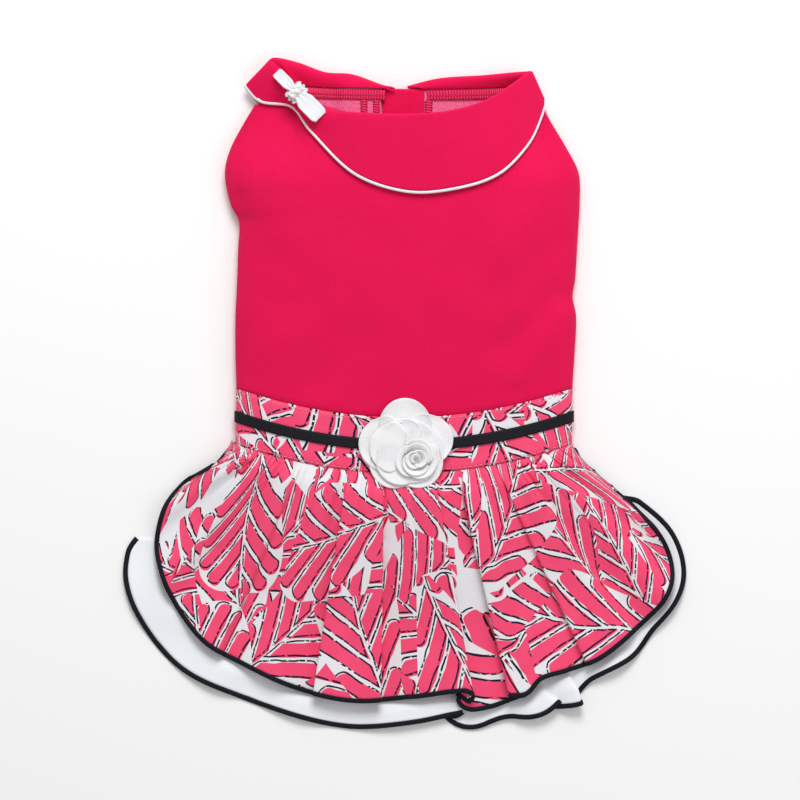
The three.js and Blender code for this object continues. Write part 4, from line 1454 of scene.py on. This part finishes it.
def make_binding(name, node, surface, start, end, count, shown):
    """The tape round a hem, tucked under the skirt outside the shares where it shows."""
    first, last = shown
    path, outs = [], []
    for k in range(count + 1):
        share = mix(start, end, k / count)
        hem, before = surface(share, 1), surface(share, 0.97)
        out = (hem - before).normalized()
        hidden = 1 - ease(share, first - 0.02, first) * ease(-share, -last - 0.02, -last)
        place = hem + out * (BINDING_WIDTH / 2 - 0.6 - hidden * BINDING_WIDTH * 1.4)
        place.z = max(place.z - hidden * BINDING_WALL, BINDING_WALL / 2)
        path.append(place)
        outs.append(out)
    binding = sweep(name, path, outs, BINDING_WIDTH, BINDING_WALL)
    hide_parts(node)
    return binding


# Flower

FLOWER_PLACE = Vector((FLOWER_SHIFT, -WAISTBAND_HEIGHT / 2, 0))
FLOWER_PLACE.z = back_top(FLOWER_PLACE.x, FLOWER_PLACE.y) + FLOWER_LIFT


def petal(name, row, centre, inner, lift, base, curl):
    """One round petal that leaves the flower's middle along its heading, its rim curled up."""
    heading = math.radians(row["heading"])
    length, width = row["length"], row["width"] * PETAL_EASE
    out_way = Vector((math.cos(heading), math.sin(heading), 0))
    side_way = Vector((-math.sin(heading), math.cos(heading), 0))

    def surface(u, v):
        s = 2 * u - 1
        round_end = math.sqrt(max(0, 1 - s * s * 0.96))
        far = inner + (length - inner) * v * (0.35 + 0.65 * round_end)
        wide = width / 2 * s * math.sin(math.pi * mix(0.22, 0.62, v))
        rim = max(abs(s), v) ** 4
        ripple = 0.5 * math.sin(5 * s + heading * 3) * v * v
        z = base + lift * v ** 1.6 + curl * rim + ripple
        z -= (far * out_way.x + wide * side_way.x) ** 2 / (8 * HALF_CHEST)
        return centre + out_way * far + side_way * wide + Vector((0, 0, z))

    made = cloth(name, 20, 12, surface, (width, length), PETAL_WALL, start=(0, 3))
    soften(made)
    return made


def make_outer_petals():
    petals = [
        petal(f"outer_petal_{k}", row, FLOWER_PLACE, inner=2.5, lift=1.2,
              base=0.3 + 0.5 * (k % 3), curl=1.0)
        for k, row in enumerate(OUTER_PETALS)
    ]
    flower = joined("flower_outer_petals", petals)
    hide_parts("flower_outer_layer")
    return flower


def make_inner_petals():
    centre = FLOWER_PLACE + Vector((ROSE_ACROSS * 0.2, -ROSE_DOWN * 0.3, 0))
    petals = [
        petal(f"inner_petal_{k}", row, centre, inner=2.0, lift=0.5, base=1.9 + 0.3 * k, curl=0.6)
        for k, row in enumerate(INNER_PETALS)
    ]
    flower = joined("flower_inner_petals", petals)
    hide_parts("flower_inner_layer")
    return flower


def rose_petal(name, ring, centre, start):
    """A petal of the rose's heart, curved round its middle and flaring out at its top."""
    def surface(u, v):
        angle = start + ring["turn"] * u
        fade = math.sin(math.pi * clamp(u, 0.02, 0.98)) ** 0.5
        out = ring["radius"] * (0.8 + 0.35 * u) + ring["flare"] * v ** 1.6 * fade
        z = ROSE_LIFT + ring["height"] * v * (0.55 + 0.45 * fade)
        return centre + Vector((out * math.cos(angle), out * math.sin(angle), z))

    made = cloth(name, 26, 8, surface, (ring["radius"] * ring["turn"], 8), ROSE_PETAL_WALL,
                 start=(0, 1.5))
    soften(made)
    return made


def make_rose():
    centre = FLOWER_PLACE + Vector((ROSE_ACROSS, -ROSE_DOWN, 0))
    petals = []
    for number, ring in enumerate(ROSE_RINGS):
        for k in range(ring["count"]):
            start = 2 * math.pi * k / ring["count"] + number * 1.3
            petals.append(rose_petal(f"rose_{number}_{k}", ring, centre, start))
    rose = joined("flower_rose_petals", petals)
    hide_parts("flower_rose")
    return rose


# Bow

def collar_near(x, y):
    """The outer face of the collar's left side at a place seen from above."""
    places = [collar_point(mix(-90, -30, i / 80), mix(STAND_SHARE, 0.9, j / 24))
              for i in range(81) for j in range(25)]
    return min(places, key=lambda p: (p.x - x) ** 2 + (p.y - y) ** 2)


def bow_place():
    """The bow's own frame on the collar: x along the bow, y across the ribbon and z off the collar."""
    start, end = collar_near(*BOW_UPPER_END), collar_near(*BOW_LOWER_END)
    along = (end - start).normalized()
    across = Vector((0, 0, 1)).cross(along).normalized()
    up = along.cross(across)
    centre = start.lerp(end, BOW_KNOT_SHARE) + up * (KNIT_WALL / 2 + SEAM_GAP)
    return Matrix.Translation(centre) @ Matrix((along, across, up)).transposed().to_4x4()


BOW_FRAME = bow_place()


def bow_loop(name, node, length, width, way):
    """A flattened loop of ribbon, narrow at the knot, with rounded corners and woven edges."""
    def surface(u, v):
        angle = 2 * math.pi * u
        along = (length / 2 - 0.4) * math.cos(angle) + length / 2
        narrow = 0.6 + 0.4 * ease(along, 0, length * 0.35)
        narrow -= 0.22 * ease(along, length * 0.8, length) ** 2
        pinch = 0.4 + 0.6 * ease(along, 0, length * 0.6)
        side = abs(v - 0.5)
        z = 1.0 * math.sin(angle) * pinch + 1.6
        z += 0.3 * math.cos(6 * math.pi * side) * (1 - ease(along, 0, length * 0.4))
        z += 0.16 * hump((side - 0.4) / 0.05) * math.copysign(1, math.sin(angle))
        return BOW_FRAME @ Vector((way * (along + LOOP_START), width * narrow * (v - 0.5), z))

    loop = cloth(name, 56, 18, surface, (length * 2, width), BOW_RIBBON_WALL, ring=True)
    soften(loop)
    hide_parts(node)
    return loop


def make_bow_frill():
    """A gathered strip under the knot, its two edges scalloped."""
    def surface(u, v):
        side, far = 2 * u - 1, 2 * v - 1
        scallop = 1 + 0.1 * math.cos(3 * math.pi * far) - 0.25 * far ** 4
        across = FRILL_WIDTH / 2 * side * scallop
        along = FRILL_LENGTH / 2 * far * (0.7 + 0.3 * abs(side))
        z = 0.35 + 0.55 * math.cos(5 * math.pi * far) * abs(side) ** 1.5 - 0.5 * abs(side)
        return BOW_FRAME @ Vector((along, across, z))

    frill = cloth("bow_frill_satin", 24, 36, surface, (12, 8), FRILL_WALL)
    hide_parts("bow_frill")
    return frill


def make_bow_knot():
    """A ring of ribbon round the bow's middle, a little ridged and tucked in at its edges."""
    def surface(u, v):
        angle = 2 * math.pi * u
        tuck = 1 - 0.2 * (1 - math.sin(math.pi * v)) + 0.07 * math.sin(5 * math.pi * v)
        along = KNOT_LENGTH / 2 * tuck * math.cos(angle)
        z = KNOT_MIDDLE + KNOT_HEIGHT / 2 * tuck * math.sin(angle)
        return BOW_FRAME @ Vector((along, KNOT_WIDTH * (v - 0.5), z))

    knot = cloth("bow_knot_satin", 40, 18, surface, (16, 8), BOW_KNOT_WALL, ring=True)
    soften(knot)
    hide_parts("bow_knot")
    return knot


def make_pearl(number, along, across):
    height = PEARL_HEIGHT - 0.06 * across ** 2 - 0.12 * along ** 2
    centre = BOW_FRAME @ Vector((along, across, height))
    bpy.ops.mesh.primitive_uv_sphere_add(segments=28, ring_count=16, radius=PEARL_DIAMETER / 2 * MM,
                                         location=centre * MM)
    bead = bpy.context.active_object
    bead.name = f"pearl_bead_{number}"
    bpy.ops.object.transform_apply(location=True, rotation=True, scale=True)
    bpy.ops.object.shade_smooth()
    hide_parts(f"bow_pearl_{number}")
    return bead


# Floor, light and camera

def make_camera():
    data = bpy.data.cameras.new("camera")
    data.sensor_width = SENSOR_WIDTH
    data.lens = SENSOR_WIDTH * VIEW_DISTANCE / VIEW_WIDTH
    data.clip_end = 100
    camera = bpy.data.objects.new("camera", data)
    camera.location = Vector((*VIEW_CENTRE, VIEW_DISTANCE)) * MM
    bpy.context.collection.objects.link(camera)
    bpy.context.scene.camera = camera


def make_floor():
    """A plain sheet of matt white paper, its tone a touch uneven."""
    bpy.ops.mesh.primitive_plane_add(size=6)
    floor = bpy.context.active_object
    floor.name = "floor"
    made, tree, shader = new_material("matt_white_paper", "fbfbfb", 0.9)
    grain = add(tree, "ShaderNodeTexNoise", {
        "Vector": add(tree, "ShaderNodeTexCoord").outputs["Object"],
        "Scale": 4.0,
    }).outputs[0]
    colour = add(tree, "ShaderNodeMix", {0: grain, 6: srgb("fafafa"), 7: srgb("fcfcfc")},
                 data_type="RGBA").outputs[2]
    tree.links.new(colour, shader.inputs["Base Color"])
    floor.data.materials.append(made)
    return floor


def make_lights():
    """Two soft lights turned to the dress, and an even white light from all round."""
    for row in LIGHTS:
        data = bpy.data.lights.new(row["name"], "AREA")
        data.size = row["size"]
        data.energy = row["power"]
        light = bpy.data.objects.new(row["name"], data)
        light.location = row["place"]
        light.rotation_mode = "QUATERNION"
        light.rotation_quaternion = (-Vector(row["place"])).to_track_quat("-Z", "Y")
        bpy.context.collection.objects.link(light)
    world = bpy.data.worlds.new("studio")
    world.use_nodes = True
    back = world.node_tree.nodes["Background"]
    back.inputs["Color"].default_value = srgb("ffffff")
    back.inputs["Strength"].default_value = WORLD_LIGHT
    bpy.context.scene.world = world
    bpy.context.scene.view_settings.view_transform = "Standard"


# Scene

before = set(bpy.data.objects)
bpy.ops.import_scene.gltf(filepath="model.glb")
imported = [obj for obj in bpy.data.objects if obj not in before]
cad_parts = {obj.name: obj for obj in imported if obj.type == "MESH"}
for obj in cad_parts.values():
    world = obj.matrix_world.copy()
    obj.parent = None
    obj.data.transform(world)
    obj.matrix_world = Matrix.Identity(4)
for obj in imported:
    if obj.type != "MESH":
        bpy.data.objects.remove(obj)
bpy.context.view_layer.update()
make_camera()
make_floor()
make_lights()

pink_knit = brushed_knit("brushed_cotton_knit", "dc0448", "e70a53")
pink_fleece = brushed_knit("inner_fleece", "fa6598", "ff84b0", rib=0, fuzz=5.0, depth=0.2)
pink_thread = plain_weave("overlock_thread", "ee4378", 0.6, pitch=0.5, depth=0.02)
seam_knit = plain_weave("overlocked_edge", "cc124a", 0.8, pitch=0.8, depth=0.04)
closure_weave = plain_weave("closure_tape_weave", "d8174f", 0.7, pitch=0.9, source="Object")
printed_cotton = leaf_print("printed_cotton")
lining = plain_weave("underskirt_poplin", "f2f5f9", 0.6, pitch=0.9, depth=0.015, sheen_weight=0.1)
tape = plain_weave("navy_binding_tape", "080a18", 0.7, pitch=0.8, depth=0.03)
ribbon_cloth = plain_weave("navy_waist_ribbon", "070914", 0.55, pitch=0.9, depth=0.04)
satin = ribbon_satin("white_satin_ribbon", "e6e5ea")
piping_satin = ribbon_satin("white_satin_piping", "efe9ef", 0.4)
petal_cotton = petal_cloth("white_petal_cotton")
pearl = pearl_coat("pearl_bead")
coral_thread = plain_weave("coral_sewing_thread", "f58aa6", 0.5, pitch=0.5, depth=0.01)


def finish(piece, slot_name, *materials):
    """Gives a piece its materials, and lets it ride on the one body; slot_name is not used."""
    piece.data.materials.clear()
    for item in materials:
        piece.data.materials.append(item)
    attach(piece, "root")


finish(make_back(), "knit", pink_knit, pink_fleece)
finish(make_belly(-1, OVERLAP_EDGE, "belly_left_cloth", "belly_left"), "knit", pink_knit, pink_fleece)
finish(make_belly(1, OVERLAP_EDGE - OVERLAP_WIDTH, "belly_right_cloth", "belly_right"), "knit",
       pink_fleece, pink_knit)
for side, name in ((-1, "leg_binding_left"), (1, "leg_binding_right")):
    finish(make_leg_binding(side, name), "knit", pink_knit)
finish(make_placket(), "knit", pink_knit)
finish(make_collar(), "knit", pink_knit)
finish(make_piping(), "satin", piping_satin)
for side, which in ((-1, "left"), (1, "right")):
    finish(make_neck_binding(side, f"neck_seam_{which}", f"neck_binding_{which}"), "knit", seam_knit)
    surface = neck_binding_surface(side)
    finish(overlock(f"neck_overlock_{which}", surface, NECK_STITCHES, 0.02, 0.66), "knit",
           pink_thread)
    finish(overlock(f"neck_edge_loops_{which}", surface, NECK_STITCHES, 0.72, 1.1), "knit",
           pink_thread)
for row in FACING_EDGES:
    surface = facing_edge(row["side"], row["left"], row["right"])
    flat = (FACING_LENGTH, row["right"] - row["left"])
    finish(cloth(row["name"], 30, 6, surface, flat, FACING_EDGE_WALL), "knit", seam_knit)
    finish(overlock(row["name"] + "_thread", surface, EDGE_STITCHES), "knit", pink_thread)
finish(make_waistband(), "print", printed_cotton)
finish(make_waist_ribbon(), "binding", ribbon_cloth)
finish(make_topstitching("topstitching_upper", SEAM_GAP + TOPSTITCH_INSET), "print", coral_thread)
finish(make_topstitching("topstitching_lower", WAISTBAND_HEIGHT - TOPSTITCH_INSET), "print",
       coral_thread)
finish(make_skirt(), "print", printed_cotton)
finish(make_underskirt(), "lining", lining)
finish(make_binding("skirt_hem_binding", "skirt_binding", skirt_surface, 0, 1, 640,
                    SKIRT_BINDING_SHOWS), "binding", tape)
finish(make_binding("underskirt_hem_binding", "underskirt_binding", underskirt_surface,
                    UNDERSKIRT_START, UNDERSKIRT_END, 520, UNDERSKIRT_BINDING_SHOWS), "binding", tape)
finish(make_outer_petals(), "petal", petal_cotton)
finish(make_inner_petals(), "petal", petal_cotton)
finish(make_rose(), "petal", petal_cotton)
finish(bow_loop("bow_loop_lower_satin", "bow_loop_lower", LOWER_LOOP_LENGTH, LOWER_LOOP_WIDTH, 1),
       "satin", satin)
finish(bow_loop("bow_loop_upper_satin", "bow_loop_upper", UPPER_LOOP_LENGTH, UPPER_LOOP_WIDTH, -1),
       "satin", satin)
finish(make_bow_frill(), "satin", satin)
finish(make_bow_knot(), "satin", satin)
for number, (along, across) in enumerate(PEARL_PLACES, 1):
    finish(make_pearl(number, along, across), "pearl", pearl)
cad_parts["closure_tape"].data.materials.clear()
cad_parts["closure_tape"].data.materials.append(closure_weave)
